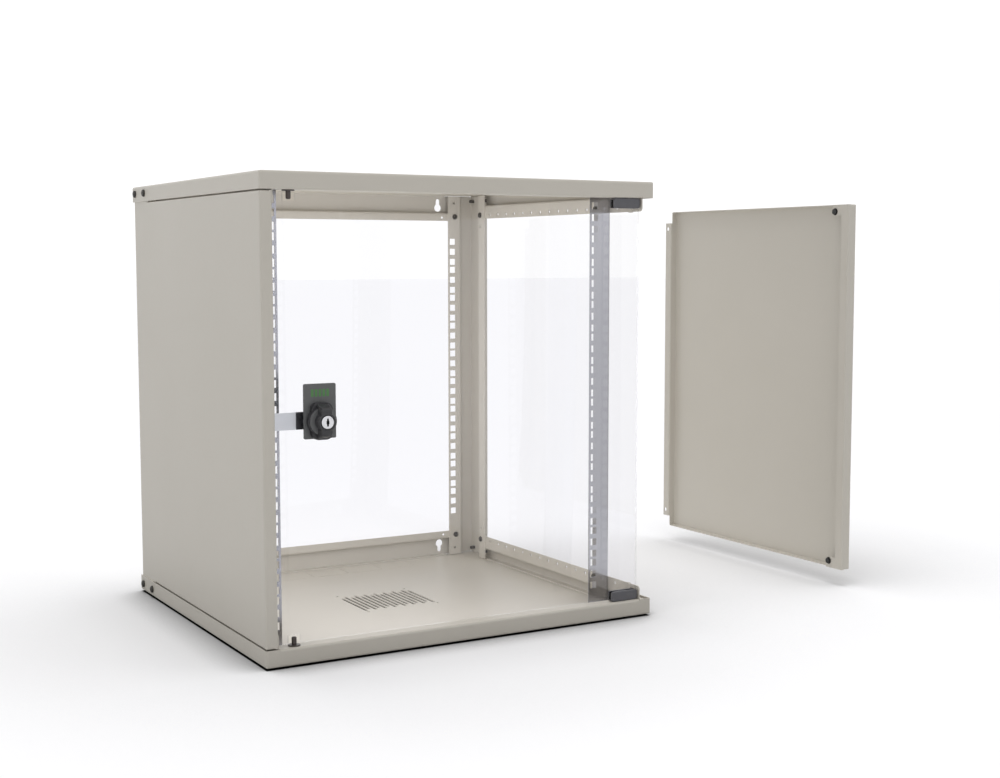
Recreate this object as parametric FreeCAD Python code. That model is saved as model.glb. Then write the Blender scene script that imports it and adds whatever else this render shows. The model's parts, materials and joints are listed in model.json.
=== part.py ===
"""Wall mount network cabinet, 12 rack units high, with a glass door and two lift-off side panels.

Millimetres. X runs to the right, Y to the rear, Z up, and the origin is the middle of the base's
underside. Depths are counted back from the front face. Right-hand and lower pieces are drawn
first, and their left and upper twins are mirror images. The right side panel is drawn taken off,
PANEL_AWAY to the right of its place.
"""
import FreeCAD, Part
import math
import os

# Overall size and sheet
WIDTH = 550.0
DEPTH = 500.0
HEIGHT = 580.0
SHEET = 1.5
BEND = 1.0
FRONT = -DEPTH / 2
BACK = DEPTH / 2

# Rack standard: unit height, hole pitch across, square hole, three holes in each unit
UNITS = 12
RACK_UNIT = 44.45
RACK_HALF_PITCH = 232.55
SQUARE_HOLE = 9.5
HOLES_IN_UNIT = (6.35, 22.225, 38.1)
BAY_BOTTOM = (HEIGHT - UNITS * RACK_UNIT) / 2
RACK_CLEAR_X = 225.0

# Trays: the base, and the top cover, which is the same pan turned over
LIP = 21.3
TRAY_ROUND = 2.5
RETURN_DEPTH = 19.5
RETURN_HALF = 257.0
CORNER_SCREW_DEPTHS = (446.0, 488.0)
CORNER_SCREW_Z = 10.0
CORNER_SCREW_LENGTH = 10.0
CORNER_HEAD_R = 5.0
CORNER_HEAD_H = 3.0

# Vent field, fan holes and cable knock-outs in the base
VENT_SLOTS = 15
VENT_PITCH = 7.35
VENT_WIDTH = 4.6
VENT_LENGTH = 84.0
VENT_CORNER = 1.8
VENT_STAGGER = 3.5
FAN_DEPTH = 250.0
FAN_PITCH = 105.0
FAN_HOLE_R = 2.25
KNOCKOUT_X = (-141.0, -85.0, -28.0, 28.0, 85.0, 141.0)
KNOCKOUT_DEPTHS = (440.0, 483.0)
KNOCKOUT_CUT = 0.8
KNOCKOUT_NIB = 3.0

# Side beams
BEAM_LIP_X = 257.8
BEAM_WEB_X = 270.5
BEAM_LIP_TOP = 38.7
BEAM_FLANGE_Z = 18.2
BEAM_FOOT_X = 261.0
BEAM_DEPTHS = (3.0, 443.0)
BEAM_HOLE_Z = 32.9
BEAM_HOLE_R = 2.5
BEAM_HOLE_PITCH = 25.0
BEAM_HOLES_FROM = 61.0
BEAM_HOLES = 15
BEAM_CORNER_R = 5.0
BEAM_SCREW_DEPTH = 438.5

# Rear posts
POST_FLANGE_DEPTH = 486.5
POST_JOGGLE_X = 248.0
POST_BACK_DEPTH = 497.0
POST_WALL_X = 272.0
POST_STEP_DEPTH = 446.5
POST_INNER_X = 256.3
POST_INNER_DEPTH = 426.0
POST_EAR_DEPTH = 432.3
POST_STEP_Z = 39.0
POST_EAR_TOP = 32.0
POST_SCREW_X = 236.7
POST_SCREW_Z = 34.7
POST_SMALL_HOLE = (235.0, 13.5)
POST_UNITS = range(1, 11)

# Rear beams with the wall keyholes
REAR_LIP_DEPTH = 488.0
REAR_LIP_Z = (28.8, 41.3)
REAR_WEB_DEPTH = 498.5
REAR_WEB_HALF = 270.0
REAR_LIP_HALF = 245.3
REAR_FOOT_DEPTH = 488.5
REAR_FOOT_HALF = 220.0
KEYHOLE_X = 212.5
KEYHOLE_Z = 20.6
KEYHOLE_R = 6.0
KEYHOLE_SLOT_R = 3.25
KEYHOLE_TRAVEL = 10.75
REAR_SMALL_HOLE = (215.0, 36.0)
SMALL_HOLE_R = 2.0

# Front rails
RAIL_DEPTH = 76.4
RAIL_OUTER_X = 257.8
RAIL_SIDE_DEPTH = 115.0
RAIL_Z = (3.0, 577.0)
RAIL_SCREW_DEPTHS = (86.0, 111.0)

# Small screws: dark pan heads on the beams, posts and rails
SCREW_HEAD_R = 4.2
SCREW_HEAD_H = 2.4
SCREW_SHANK_R = 2.5

# Side panels
PANEL_SHEET = 1.2
PANEL_ROUND = 2.0
PANEL_INNER_X = 259.6
PANEL_DEPTH = 432.0
PANEL_SKIN_DEPTH = 444.5
PANEL_Z = (22.8, 557.2)
PANEL_RETURN_DEPTH = 14.2
PANEL_HEM_X = 264.8
PANEL_EAR_DEPTH = 33.0
PANEL_EAR_HEIGHT = 15.9
PANEL_TAB_X = 261.0
PANEL_TAB_DEPTH = 444.5
PANEL_TAB_Z = (40.0, 538.5)
PANEL_TAB_HOLE_DEPTH = 439.0
PANEL_TAB_HOLE_Z = (50.0, 529.0)
PANEL_TAB_HOLE_R = 3.2
PANEL_AWAY = 359.0
STUD_DEPTH = 27.7
STUD_HEAD_R = 5.1
STUD_HEAD_H = 2.5
STUD_CUP_R = 6.0
STUD_CUP_X = 255.6
STUD_CUP_SHEET = 1.2

# Glass door
GLASS_DEPTHS = (8.0, 12.0)
GLASS_HALF = 257.0
GLASS_Z = (24.6, 555.4)
GLASS_ROUND = 2.0
GLASS_NOTCH_HALF = 7.8
GLASS_NOTCH_TOP = 34.2
PIN_X = 236.0
PIN_DEPTH = 10.2
PIN_R = 3.0
PIN_FLANGE_R = 7.5
PIN_COLLAR_R = 4.2
PIN_FLANGE_H = 1.5
PIN_STEM = 11.0
PIN_BELOW = 3.0
COLLAR_GAP = 0.4
RUNNING_GAP = 0.05

# Hinge clamps
CLAMP_X = (215.5, 256.5)
CLAMP_DEPTHS = (4.8, 15.0)
CLAMP_Z = (21.6, 34.9)
CLAMP_ROUND = 2.5
CLAMP_EDGE = 0.8
LINER = 0.5
CLAMP_BLOCK_HALF = 7.3
CLAMP_BORE_TOP = 32.8
CLAMP_SCREW_X = (222.5, 249.8)
CLAMP_SCREW_Z = 29.6
CLAMP_SCREW_R = 2.0
CLAMP_SCREW_HEAD_R = 3.2
CLAMP_SCREW_HEAD_H = 1.6

# Lock: plate, barrel and nut on the glass
LOCK_X = -201.3
LOCK_Z = 288.5
PLATE_X = (-221.7, -181.0)
PLATE_Z = (267.3, 332.6)
PLATE_DEPTH = 5.5
PLATE_ROUND = 1.6
BARREL_R = 9.8
BARREL_BORE_R = 6.1
BARREL_END_DEPTH = 15.0
GLASS_HOLE_R = 10.2
NUT_FLATS = 24.0
NUT_DEPTH = 14.8

# Turn knob, cam and key cylinder
KNOB_BASE_DEPTH = 5.2
KNOB_SKIRT_DEPTH = 0.0
KNOB_FACE_DEPTH = -17.0
KNOB_SKIRT_R = 18.5
KNOB_BOSS_R = 12.0
GRIP_HALF_WIDTH = 8.0
GRIP_HALF_HEIGHT = 22.0
GRIP_FACE_DEPTH = -15.0
GRIP_EDGE = 1.5
SHAFT_R = 6.0
SHAFT_END_DEPTH = 15.4
SPIGOT_R = 4.0
SPIGOT_END_DEPTH = 19.0
CAM_HALF_HEIGHT = 10.25
CARRIER_DEPTHS = (15.4, 19.4)
CARRIER_REACH_X = -228.0
TONGUE_DEPTHS = (15.5, 17.5)
TONGUE_X = (-268.0, -216.0)
CAM_SCREW_R = 2.0
CAM_SCREW_HEAD_R = 4.5
CAM_SCREW_HEAD_H = 2.5
CAM_SCREW_REACH = 9.0
KEY_R = 8.5
KEY_FACE_DEPTH = -18.0
KEY_SEAT_DEPTH = -7.0
KEY_GAP = 0.15
KEYWAY = (1.8, 8.0, 3.0)

# Flats round small screws and holes, flats round turned parts, and chords in each quarter of a bend
SMALL_FLATS = 6
TURNED_FLATS = 24
BEND_CHORDS = 2

# The two axes of a drawing plane, then the axis square to it
PLANES = {"XY": (0, 1, 2), "XZ": (0, 2, 1), "YZ": (1, 2, 0)}
PAST = 1.0


def at_depth(depth):
    """Y of a place that far behind the front face."""
    return FRONT + depth


def in_space(plane, u, v, w):
    """Point at (u, v) on a drawing plane and w along the axis square to it."""
    first, second, third = PLANES[plane]
    point = [0.0, 0.0, 0.0]
    point[first], point[second], point[third] = u, v, w
    return FreeCAD.Vector(*point)


def box(x, depth, z):
    """Box between two X, two depths and two Z."""
    size = (x[1] - x[0], depth[1] - depth[0], z[1] - z[0])
    return Part.makeBox(*size, FreeCAD.Vector(x[0], at_depth(depth[0]), z[0]))


def ring(radius, flats, middle, way):
    """Closed outline with a corner on the radius for each flat, square to a unit direction."""
    across = FreeCAD.Vector(1, 0, 0) if abs(way.z) > 0.5 else FreeCAD.Vector(0, 0, 1)
    up = way.cross(across)
    corners = []
    for index in range(flats):
        angle = 2 * math.pi * (index + 0.5) / flats
        corners.append(middle + across * (radius * math.cos(angle)) + up * (radius * math.sin(angle)))
    return Part.makePolygon(corners + corners[:1])


def rod(radius, start, way, length, flats=0):
    """Rod from a point along a unit direction: round, or with flats."""
    if not flats:
        return Part.makeCylinder(radius, length, start, way)
    return Part.Face(ring(radius, flats, start, way)).extrude(way * length)


def cross_rod(radius, x, depth, z, flats=0):
    """Rod along X, between two X."""
    return rod(radius, FreeCAD.Vector(x[0], at_depth(depth), z), FreeCAD.Vector(1, 0, 0), x[1] - x[0], flats)


def depth_rod(radius, x, depth, z, flats=0):
    """Rod along Y, between two depths."""
    start = FreeCAD.Vector(x, at_depth(depth[0]), z)
    return rod(radius, start, FreeCAD.Vector(0, 1, 0), depth[1] - depth[0], flats)


def upright_rod(radius, x, depth, z, flats=0):
    """Rod along Z, between two Z."""
    return rod(radius, FreeCAD.Vector(x, at_depth(depth), z[0]), FreeCAD.Vector(0, 0, 1), z[1] - z[0], flats)


def extruded(corners, plane, start, stop, chords=BEND_CHORDS):
    """Solid of a closed outline, given as (u, v, corner radius), between two planes."""
    points = [FreeCAD.Vector(u, v, 0) for u, v, _ in corners]
    outline = []
    for index, (_, _, radius) in enumerate(corners):
        corner = points[index]
        if radius < 0.01:
            outline.append(corner)
            continue
        back = (points[index - 1] - corner).normalize()
        ahead = (points[(index + 1) % len(points)] - corner).normalize()
        half = back.getAngle(ahead) / 2
        centre = corner + (back + ahead).normalize() * (radius / math.sin(half))
        arrive = corner + back * (radius / math.tan(half)) - centre
        leave = corner + ahead * (radius / math.tan(half)) - centre
        turn = math.pi - 2 * half
        steps = max(1, round(chords * turn / (math.pi / 2)))
        for step in range(steps + 1):
            share = turn * step / steps
            spoke = arrive * math.sin(turn - share) + leave * math.sin(share)
            outline.append(centre + spoke * (1 / math.sin(turn)))
    ends = [in_space(plane, point.x, point.y, start) for point in outline]
    face = Part.Face(Part.makePolygon(ends + ends[:1]))
    return face.extrude(in_space(plane, 0, 0, stop - start))


def folded(path, plane, start, stop, sheet=SHEET, bend=BEND):
    """Sheet folded along a path of corner points, its thickness to the left of the way the path runs."""
    points = [FreeCAD.Vector(u, v, 0) for u, v in path]
    ways = [(b - a).normalize() for a, b in zip(points, points[1:])]
    lefts = [FreeCAD.Vector(-way.y, way.x, 0) for way in ways]
    near, far = [], []
    for index, point in enumerate(points):
        before = lefts[max(index - 1, 0)]
        after = lefts[min(index, len(lefts) - 1)]
        offset = (before + after) * (sheet / (1 + before.dot(after)))
        turn = 0.0
        if 0 < index < len(points) - 1:
            turn = ways[index - 1].cross(ways[index]).z
        inner, outer = bend, bend + sheet
        near_r = 0.0 if turn == 0 else (outer if turn > 0 else inner)
        far_r = 0.0 if turn == 0 else (inner if turn > 0 else outer)
        near.append((point.x, point.y, near_r))
        far.append((point.x + offset.x, point.y + offset.y, far_r))
    return extruded(near + far[::-1], plane, start, stop)


def bent_block(low, high, closed, round_r):
    """Block whose edges are rounded where two of its closed faces meet; a face is named such as -X."""
    block = None
    for plane, (first, second, third) in PLANES.items():
        corners = []
        for side, end in ((-1, -1), (1, -1), (1, 1), (-1, 1)):
            faces = ("-+"[side > 0] + "XYZ"[first], "-+"[end > 0] + "XYZ"[second])
            bent = all(face in closed for face in faces)
            u, v = (high if side > 0 else low)[first], (high if end > 0 else low)[second]
            corners.append((u, v, round_r if bent else 0.0))
        slab = extruded(corners, plane, low[third], high[third])
        block = slab if block is None else block.common(slab)
    return block


def pan(x, depth, z, closed, sheet, round_r):
    """Folded pan: a block with rounded bends between its closed faces, hollow, the other faces open."""
    low = [x[0], at_depth(depth[0]), z[0]]
    high = [x[1], at_depth(depth[1]), z[1]]
    inner_low = [value + (sheet if "-" + axis in closed else -PAST) for axis, value in zip("XYZ", low)]
    inner_high = [value - (sheet if "+" + axis in closed else -PAST) for axis, value in zip("XYZ", high)]
    inner = bent_block(inner_low, inner_high, closed, round_r - sheet)
    return bent_block(low, high, closed, round_r).cut(inner)


def mirrored(shape):
    """The same piece on the other side of the cabinet."""
    return shape.mirror(FreeCAD.Vector(0, 0, 0), FreeCAD.Vector(1, 0, 0))


def turned_over(shape):
    """The same piece at the other end of the cabinet's height."""
    return shape.mirror(FreeCAD.Vector(0, 0, HEIGHT / 2), FreeCAD.Vector(0, 0, 1))


def four_ways(shape):
    """A right-hand lower piece with its left, upper and upper left twins."""
    pair = [shape, mirrored(shape)]
    return pair + [turned_over(item) for item in pair]


def pan_head_screw(point, way, head_r, head_h, shank_r, length):
    """Screw seated at a point: the head stands along way, and the shank runs the other way."""
    way = FreeCAD.Vector(*way)
    rims = [ring(head_r, SMALL_FLATS, point, way), ring(head_r * 0.8, SMALL_FLATS, point + way * head_h, way)]
    head = Part.makeLoft(rims, True, True)
    return head.fuse(rod(shank_r, point, way * -1, length, SMALL_FLATS)).removeSplitter()


def tray():
    """Pan with a floor, two side lips and a front lip that turns back and carries the door pins."""
    shape = pan((-WIDTH / 2, WIDTH / 2), (0, DEPTH), (0, LIP), ("-X", "+X", "-Y", "-Z"), SHEET, TRAY_ROUND)
    fold_z = LIP - 2 * TRAY_ROUND
    shape = shape.cut(box((-RETURN_HALF, RETURN_HALF), (-PAST, 2 * SHEET), (fold_z, LIP + PAST)))
    path = [(at_depth(RETURN_DEPTH), LIP), (FRONT, LIP), (FRONT, fold_z)]
    shape = shape.fuse(folded(path, "YZ", -RETURN_HALF, RETURN_HALF))
    pin_z = (fold_z, LIP + PAST)
    holes = [upright_rod(PIN_R, side * PIN_X, PIN_DEPTH, pin_z, SMALL_FLATS) for side in (-1, 1)]
    for depth in CORNER_SCREW_DEPTHS:
        reach = WIDTH / 2 + PAST
        hole = cross_rod(SCREW_SHANK_R, (reach - 2 * SHEET, reach), depth, CORNER_SCREW_Z, SMALL_FLATS)
        holes += [hole, mirrored(hole)]
    return shape.cut(holes).removeSplitter()


def vent_slot(x, depth):
    """Cutter for one slot of the vent field, with eased ends."""
    half_w, half_l = VENT_WIDTH / 2, VENT_LENGTH / 2
    y = at_depth(depth)
    ends = ((-1, -1), (1, -1), (1, 1), (-1, 1))
    outline = [(x + side * half_w, y + end * half_l, VENT_CORNER) for side, end in ends]
    return extruded(outline, "XY", -PAST, SHEET + PAST, chords=1)


def knockout_cuts():
    """Cutters round the cable knock-outs, which short nibs hold at each corner."""
    cuts = []
    near, far = KNOCKOUT_DEPTHS
    half = KNOCKOUT_CUT / 2
    through = (-PAST, SHEET + PAST)
    for x in KNOCKOUT_X:
        cuts.append(box((x - half, x + half), (near + KNOCKOUT_NIB, far - KNOCKOUT_NIB), through))
    for left, right in zip(KNOCKOUT_X, KNOCKOUT_X[1:]):
        span = (left + KNOCKOUT_NIB, right - KNOCKOUT_NIB)
        cuts += [box(span, (depth - half, depth + half), through) for depth in KNOCKOUT_DEPTHS]
    return cuts


def base_tray():
    """Lower tray, with the vent field, the fan's screw holes and the cable knock-outs."""
    cuts = knockout_cuts()
    for index in range(VENT_SLOTS):
        x = (index - (VENT_SLOTS - 1) / 2) * VENT_PITCH
        stagger = VENT_STAGGER if index % 2 else -VENT_STAGGER
        cuts.append(vent_slot(x, FAN_DEPTH + stagger))
    for side in (-1, 1):
        for end in (-1, 1):
            depth = FAN_DEPTH + end * FAN_PITCH / 2
            cuts.append(upright_rod(FAN_HOLE_R, side * FAN_PITCH / 2, depth, (-PAST, SHEET + PAST)))
    return tray().cut(cuts)


def side_beam():
    """Lower right beam: a lip with the rail's holes and a cup for the panel's stud, a web, and a foot."""
    path = [(BEAM_LIP_X, BEAM_LIP_TOP), (BEAM_LIP_X, BEAM_FLANGE_Z), (BEAM_WEB_X, BEAM_FLANGE_Z)]
    path += [(BEAM_WEB_X, 2 * SHEET), (BEAM_FOOT_X, 2 * SHEET)]
    front, back = (at_depth(depth) for depth in BEAM_DEPTHS)
    shape = folded(path, "XZ", front, back)
    through = (BEAM_LIP_X - PAST, BEAM_LIP_X + SHEET + PAST)
    depths = [BEAM_HOLES_FROM + index * BEAM_HOLE_PITCH for index in range(BEAM_HOLES)] + [BEAM_SCREW_DEPTH]
    cuts = [cross_rod(BEAM_HOLE_R, through, depth, BEAM_HOLE_Z, SMALL_FLATS) for depth in depths]
    cup_x, hollow = (STUD_CUP_X, BEAM_LIP_X + SHEET), (STUD_CUP_X + STUD_CUP_SHEET, through[1])
    cup_flats = 2 * SMALL_FLATS
    cup = cross_rod(STUD_CUP_R + STUD_CUP_SHEET, cup_x, STUD_DEPTH, BEAM_HOLE_Z, cup_flats)
    cuts.append(cross_rod(STUD_CUP_R, hollow, STUD_DEPTH, BEAM_HOLE_Z, cup_flats))
    corner_depth, corner_z = BEAM_DEPTHS[0] + BEAM_CORNER_R, BEAM_LIP_TOP - BEAM_CORNER_R
    corner = box(through, (BEAM_DEPTHS[0] - PAST, corner_depth), (corner_z, BEAM_LIP_TOP + PAST))
    keep = cross_rod(BEAM_CORNER_R, through, corner_depth, corner_z, TURNED_FLATS)
    return shape.fuse(cup).cut(cuts + [corner.cut(keep)]).removeSplitter()


def rear_post():
    """Right rear post: a flange of square holes, the corner, and a step inwards behind the panel."""
    path = [(RACK_CLEAR_X, POST_FLANGE_DEPTH), (POST_JOGGLE_X, POST_FLANGE_DEPTH)]
    path += [(POST_JOGGLE_X, POST_BACK_DEPTH), (POST_WALL_X, POST_BACK_DEPTH), (POST_WALL_X, POST_STEP_DEPTH)]
    path += [(POST_INNER_X, POST_STEP_DEPTH), (POST_INNER_X, POST_INNER_DEPTH)]
    bottom, top = SHEET + BEND, HEIGHT - SHEET - BEND
    shape = folded([(x, at_depth(depth)) for x, depth in path], "XY", bottom, top)
    window_x = (POST_INNER_X + SHEET, WIDTH / 2)
    window_depth = (POST_STEP_DEPTH - SHEET - PAST, POST_STEP_DEPTH + BEND)
    ear_depth = (POST_EAR_DEPTH, window_depth[1])
    window, ear = box(window_x, window_depth, (bottom, POST_STEP_Z)), (POST_WALL_X, POST_WALL_X + SHEET)
    ear = box(ear, ear_depth, (bottom, POST_EAR_TOP))
    cuts, ears = [window, turned_over(window)], [ear, turned_over(ear)]
    shape = shape.cut(cuts).fuse(ears)
    return shape.cut(post_holes()).removeSplitter()


def post_holes():
    """Cutters for a right rear post: square holes, screw holes and the panel's two screw holes."""
    flange = (POST_FLANGE_DEPTH - PAST, POST_FLANGE_DEPTH + SHEET + PAST)
    wall = (POST_INNER_X - PAST, POST_INNER_X + SHEET + PAST)
    cuts = square_holes(POST_UNITS, flange)
    ends = [depth_rod(SMALL_HOLE_R, POST_SMALL_HOLE[0], flange, POST_SMALL_HOLE[1], SMALL_FLATS),
            depth_rod(SMALL_HOLE_R, POST_SCREW_X, flange, POST_SCREW_Z, SMALL_FLATS),
            cross_rod(BEAM_HOLE_R, wall, BEAM_SCREW_DEPTH, BEAM_HOLE_Z, SMALL_FLATS)]
    side = (POST_WALL_X - PAST, WIDTH / 2)
    for depth in CORNER_SCREW_DEPTHS:
        ends.append(cross_rod(SCREW_SHANK_R, side, depth, CORNER_SCREW_Z, SMALL_FLATS))
    cuts += ends + [turned_over(cut) for cut in ends]
    cuts += [cross_rod(BEAM_HOLE_R, wall, PANEL_TAB_HOLE_DEPTH, z, SMALL_FLATS) for z in PANEL_TAB_HOLE_Z]
    return cuts


def square_holes(units, through):
    """Cutters for the square rack holes of the named units, counted from the bottom as 0."""
    half = SQUARE_HOLE / 2
    cuts = []
    for unit in units:
        for step in HOLES_IN_UNIT:
            z = BAY_BOTTOM + unit * RACK_UNIT + step
            cuts.append(box((RACK_HALF_PITCH - half, RACK_HALF_PITCH + half), through, (z - half, z + half)))
    return cuts


def rear_beam():
    """Lower rear beam: a lip behind the posts' flanges, and a web with the wall keyholes."""
    low, high = REAR_LIP_Z
    path = [(REAR_LIP_DEPTH, high), (REAR_LIP_DEPTH, low), (REAR_WEB_DEPTH, low)]
    path += [(REAR_WEB_DEPTH, 2 * SHEET), (REAR_FOOT_DEPTH, 2 * SHEET)]
    shape = folded([(at_depth(depth), z) for depth, z in path], "YZ", -REAR_WEB_HALF, REAR_WEB_HALF)
    end_depth = (REAR_LIP_DEPTH - PAST, REAR_WEB_DEPTH)
    cuts = []
    for half, z in ((REAR_LIP_HALF, (0, high + PAST)), (REAR_FOOT_HALF, (0, low - PAST))):
        end = box((half, WIDTH / 2), end_depth, z)
        cuts += [end, mirrored(end)]
    web = (REAR_WEB_DEPTH - PAST, DEPTH + PAST)
    lip = (REAR_LIP_DEPTH - PAST, REAR_LIP_DEPTH + SHEET + PAST)
    side_cuts = [depth_rod(KEYHOLE_R, KEYHOLE_X, web, KEYHOLE_Z),
                 depth_rod(KEYHOLE_SLOT_R, KEYHOLE_X, web, KEYHOLE_Z - KEYHOLE_TRAVEL, 2 * SMALL_FLATS),
                 box((KEYHOLE_X - KEYHOLE_SLOT_R, KEYHOLE_X + KEYHOLE_SLOT_R), web,
                     (KEYHOLE_Z - KEYHOLE_TRAVEL, KEYHOLE_Z)),
                 depth_rod(SMALL_HOLE_R, REAR_SMALL_HOLE[0], lip, REAR_SMALL_HOLE[1], SMALL_FLATS),
                 depth_rod(SMALL_HOLE_R, POST_SCREW_X, lip, POST_SCREW_Z, SMALL_FLATS)]
    return shape.cut(cuts + side_cuts + [mirrored(cut) for cut in side_cuts])


def front_rail():
    """Right front rail: an angle with a full column of square holes, screwed to the side beams."""
    path = [(RACK_CLEAR_X, RAIL_DEPTH), (RAIL_OUTER_X, RAIL_DEPTH), (RAIL_OUTER_X, RAIL_SIDE_DEPTH)]
    shape = folded([(x, at_depth(depth)) for x, depth in path], "XY", *RAIL_Z)
    cuts = square_holes(range(UNITS), (RAIL_DEPTH - PAST, RAIL_DEPTH + SHEET + PAST))
    wall = (RAIL_OUTER_X - SHEET - PAST, RAIL_OUTER_X + PAST)
    ends = [cross_rod(BEAM_HOLE_R, wall, depth, BEAM_HOLE_Z, SMALL_FLATS) for depth in RAIL_SCREW_DEPTHS]
    return shape.cut(cuts + ends + [turned_over(cut) for cut in ends])


def corner_screws():
    """Eight screws through the tray lips into the rear posts."""
    screws = []
    for depth in CORNER_SCREW_DEPTHS:
        seat = FreeCAD.Vector(WIDTH / 2, at_depth(depth), CORNER_SCREW_Z)
        screws += four_ways(pan_head_screw(seat, (1, 0, 0), CORNER_HEAD_R, CORNER_HEAD_H,
                                           SCREW_SHANK_R, CORNER_SCREW_LENGTH))
    return screws


def inner_screws(x, depths):
    """Screws from inside the cabinet through a wall at X into the side beams, in all four corners."""
    screws = []
    length = BEAM_LIP_X + SHEET - x
    for depth in depths:
        seat = FreeCAD.Vector(x, at_depth(depth), BEAM_HOLE_Z)
        screws += four_ways(pan_head_screw(seat, (-1, 0, 0), SCREW_HEAD_R, SCREW_HEAD_H,
                                           SCREW_SHANK_R, length))
    return screws


def rear_beam_screws():
    """Screws through the posts' flanges into the rear beams' lips."""
    seat = FreeCAD.Vector(POST_SCREW_X, at_depth(POST_FLANGE_DEPTH), POST_SCREW_Z)
    return four_ways(pan_head_screw(seat, (0, -1, 0), SCREW_HEAD_R, SCREW_HEAD_H, SMALL_HOLE_R, 2 * SHEET))


def hinge_pins(flange_r, flats=0):
    """Right-hand door pins, lower and upper: a stem on a flange, its root pressed into the tray's return."""
    stem = upright_rod(PIN_R, PIN_X, PIN_DEPTH, (LIP, LIP + PIN_STEM), flats)
    root = upright_rod(PIN_R, PIN_X, PIN_DEPTH, (LIP - PIN_BELOW, LIP), SMALL_FLATS)
    flange = upright_rod(flange_r, PIN_X, PIN_DEPTH, (LIP, LIP + PIN_FLANGE_H), 2 * SMALL_FLATS)
    pin = stem.fuse([root, flange]).removeSplitter()
    return [pin, turned_over(pin)]


def side_panel():
    """Right side panel in its place: a pan, a front return with ears, and a hemmed rear edge with a tab."""
    low, high = PANEL_Z
    shape = pan((PANEL_INNER_X, WIDTH / 2), (0, PANEL_DEPTH), PANEL_Z,
                ("+X", "-Y", "+Y", "-Z", "+Z"), PANEL_SHEET, PANEL_ROUND)
    tall = (low - PAST, high + PAST)
    trim = box((PANEL_INNER_X - PAST, PANEL_HEM_X), (PANEL_RETURN_DEPTH, PANEL_DEPTH + PAST), tall)
    corner_x = (PANEL_INNER_X - PAST, PANEL_INNER_X + 2 * PANEL_ROUND)
    corner = box(corner_x, (-PAST, PANEL_SHEET), tall)
    bend = PANEL_ROUND - PANEL_SHEET
    path = [(PANEL_INNER_X, PANEL_RETURN_DEPTH), (PANEL_INNER_X, 0), (corner_x[1], 0)]
    turn = folded([(x, at_depth(depth)) for x, depth in path], "XY", low, high, PANEL_SHEET, bend)
    path = [(PANEL_HEM_X + 2 * PANEL_ROUND, PANEL_DEPTH), (PANEL_TAB_X + PANEL_SHEET, PANEL_DEPTH)]
    path += [(PANEL_TAB_X + PANEL_SHEET, PANEL_TAB_DEPTH)]
    tab = folded([(x, at_depth(depth)) for x, depth in path], "XY", *PANEL_TAB_Z, PANEL_SHEET, bend)
    skin_depth = (PANEL_DEPTH - PANEL_ROUND, PANEL_SKIN_DEPTH)
    skin = box((WIDTH / 2 - PANEL_SHEET, WIDTH / 2), skin_depth, (low, high))
    hem_x = (WIDTH / 2 - 2 * PANEL_SHEET, WIDTH / 2)
    hem = box(hem_x, (PANEL_DEPTH - PANEL_SHEET, PANEL_SKIN_DEPTH), PANEL_TAB_Z)
    ear_z = (low, low + PANEL_EAR_HEIGHT)
    ear_wall = (PANEL_INNER_X, PANEL_INNER_X + PANEL_SHEET)
    ear = box(ear_wall, (PANEL_RETURN_DEPTH - PAST, PANEL_EAR_DEPTH), ear_z)
    shape = shape.cut([trim, corner]).fuse([turn, tab, skin, hem, ear, turned_over(ear)])
    through = (PANEL_INNER_X - PAST, PANEL_TAB_X + PANEL_SHEET + PAST)
    stud_hole = cross_rod(SCREW_SHANK_R, through, STUD_DEPTH, BEAM_HOLE_Z, SMALL_FLATS)
    cuts = [stud_hole, turned_over(stud_hole)]
    for z in PANEL_TAB_HOLE_Z:
        cuts.append(cross_rod(PANEL_TAB_HOLE_R, through, PANEL_TAB_HOLE_DEPTH, z, 2 * SMALL_FLATS))
    return shape.cut(cuts).removeSplitter()


def panel_studs():
    """The right panel's two studs, their heads on the inner side of its ears."""
    seat = FreeCAD.Vector(PANEL_INNER_X, at_depth(STUD_DEPTH), BEAM_HOLE_Z)
    stud = pan_head_screw(seat, (-1, 0, 0), STUD_HEAD_R, STUD_HEAD_H, SCREW_SHANK_R, PANEL_SHEET * 2)
    return [stud, turned_over(stud)]


def glass_door():
    """Toughened glass for either hand: notched for the pins in all four corners, drilled for the lock."""
    near, far = (at_depth(depth) for depth in GLASS_DEPTHS)
    low, high = GLASS_Z
    corners = [(-GLASS_HALF, low, GLASS_ROUND), (GLASS_HALF, low, GLASS_ROUND)]
    corners += [(GLASS_HALF, high, GLASS_ROUND), (-GLASS_HALF, high, GLASS_ROUND)]
    shape = extruded(corners, "XZ", near, far)
    through = (GLASS_DEPTHS[0] - PAST, GLASS_DEPTHS[1] + PAST)
    notch = box((PIN_X - GLASS_NOTCH_HALF, PIN_X + GLASS_NOTCH_HALF), through, (low - PAST, GLASS_NOTCH_TOP))
    return shape.cut(four_ways(notch) + [depth_rod(GLASS_HOLE_R, LOCK_X, through, LOCK_Z, TURNED_FLATS)])


def clamp_slots(x_spans, liner):
    """Boxes either side of a clamp's pin block where the glass stands, with or without the liner."""
    near, far = GLASS_DEPTHS
    grow = LINER if liner else 0.0
    return [box(span, (near - grow, far + grow), (GLASS_Z[0] - grow, CLAMP_Z[1] + PAST)) for span in x_spans]


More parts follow.
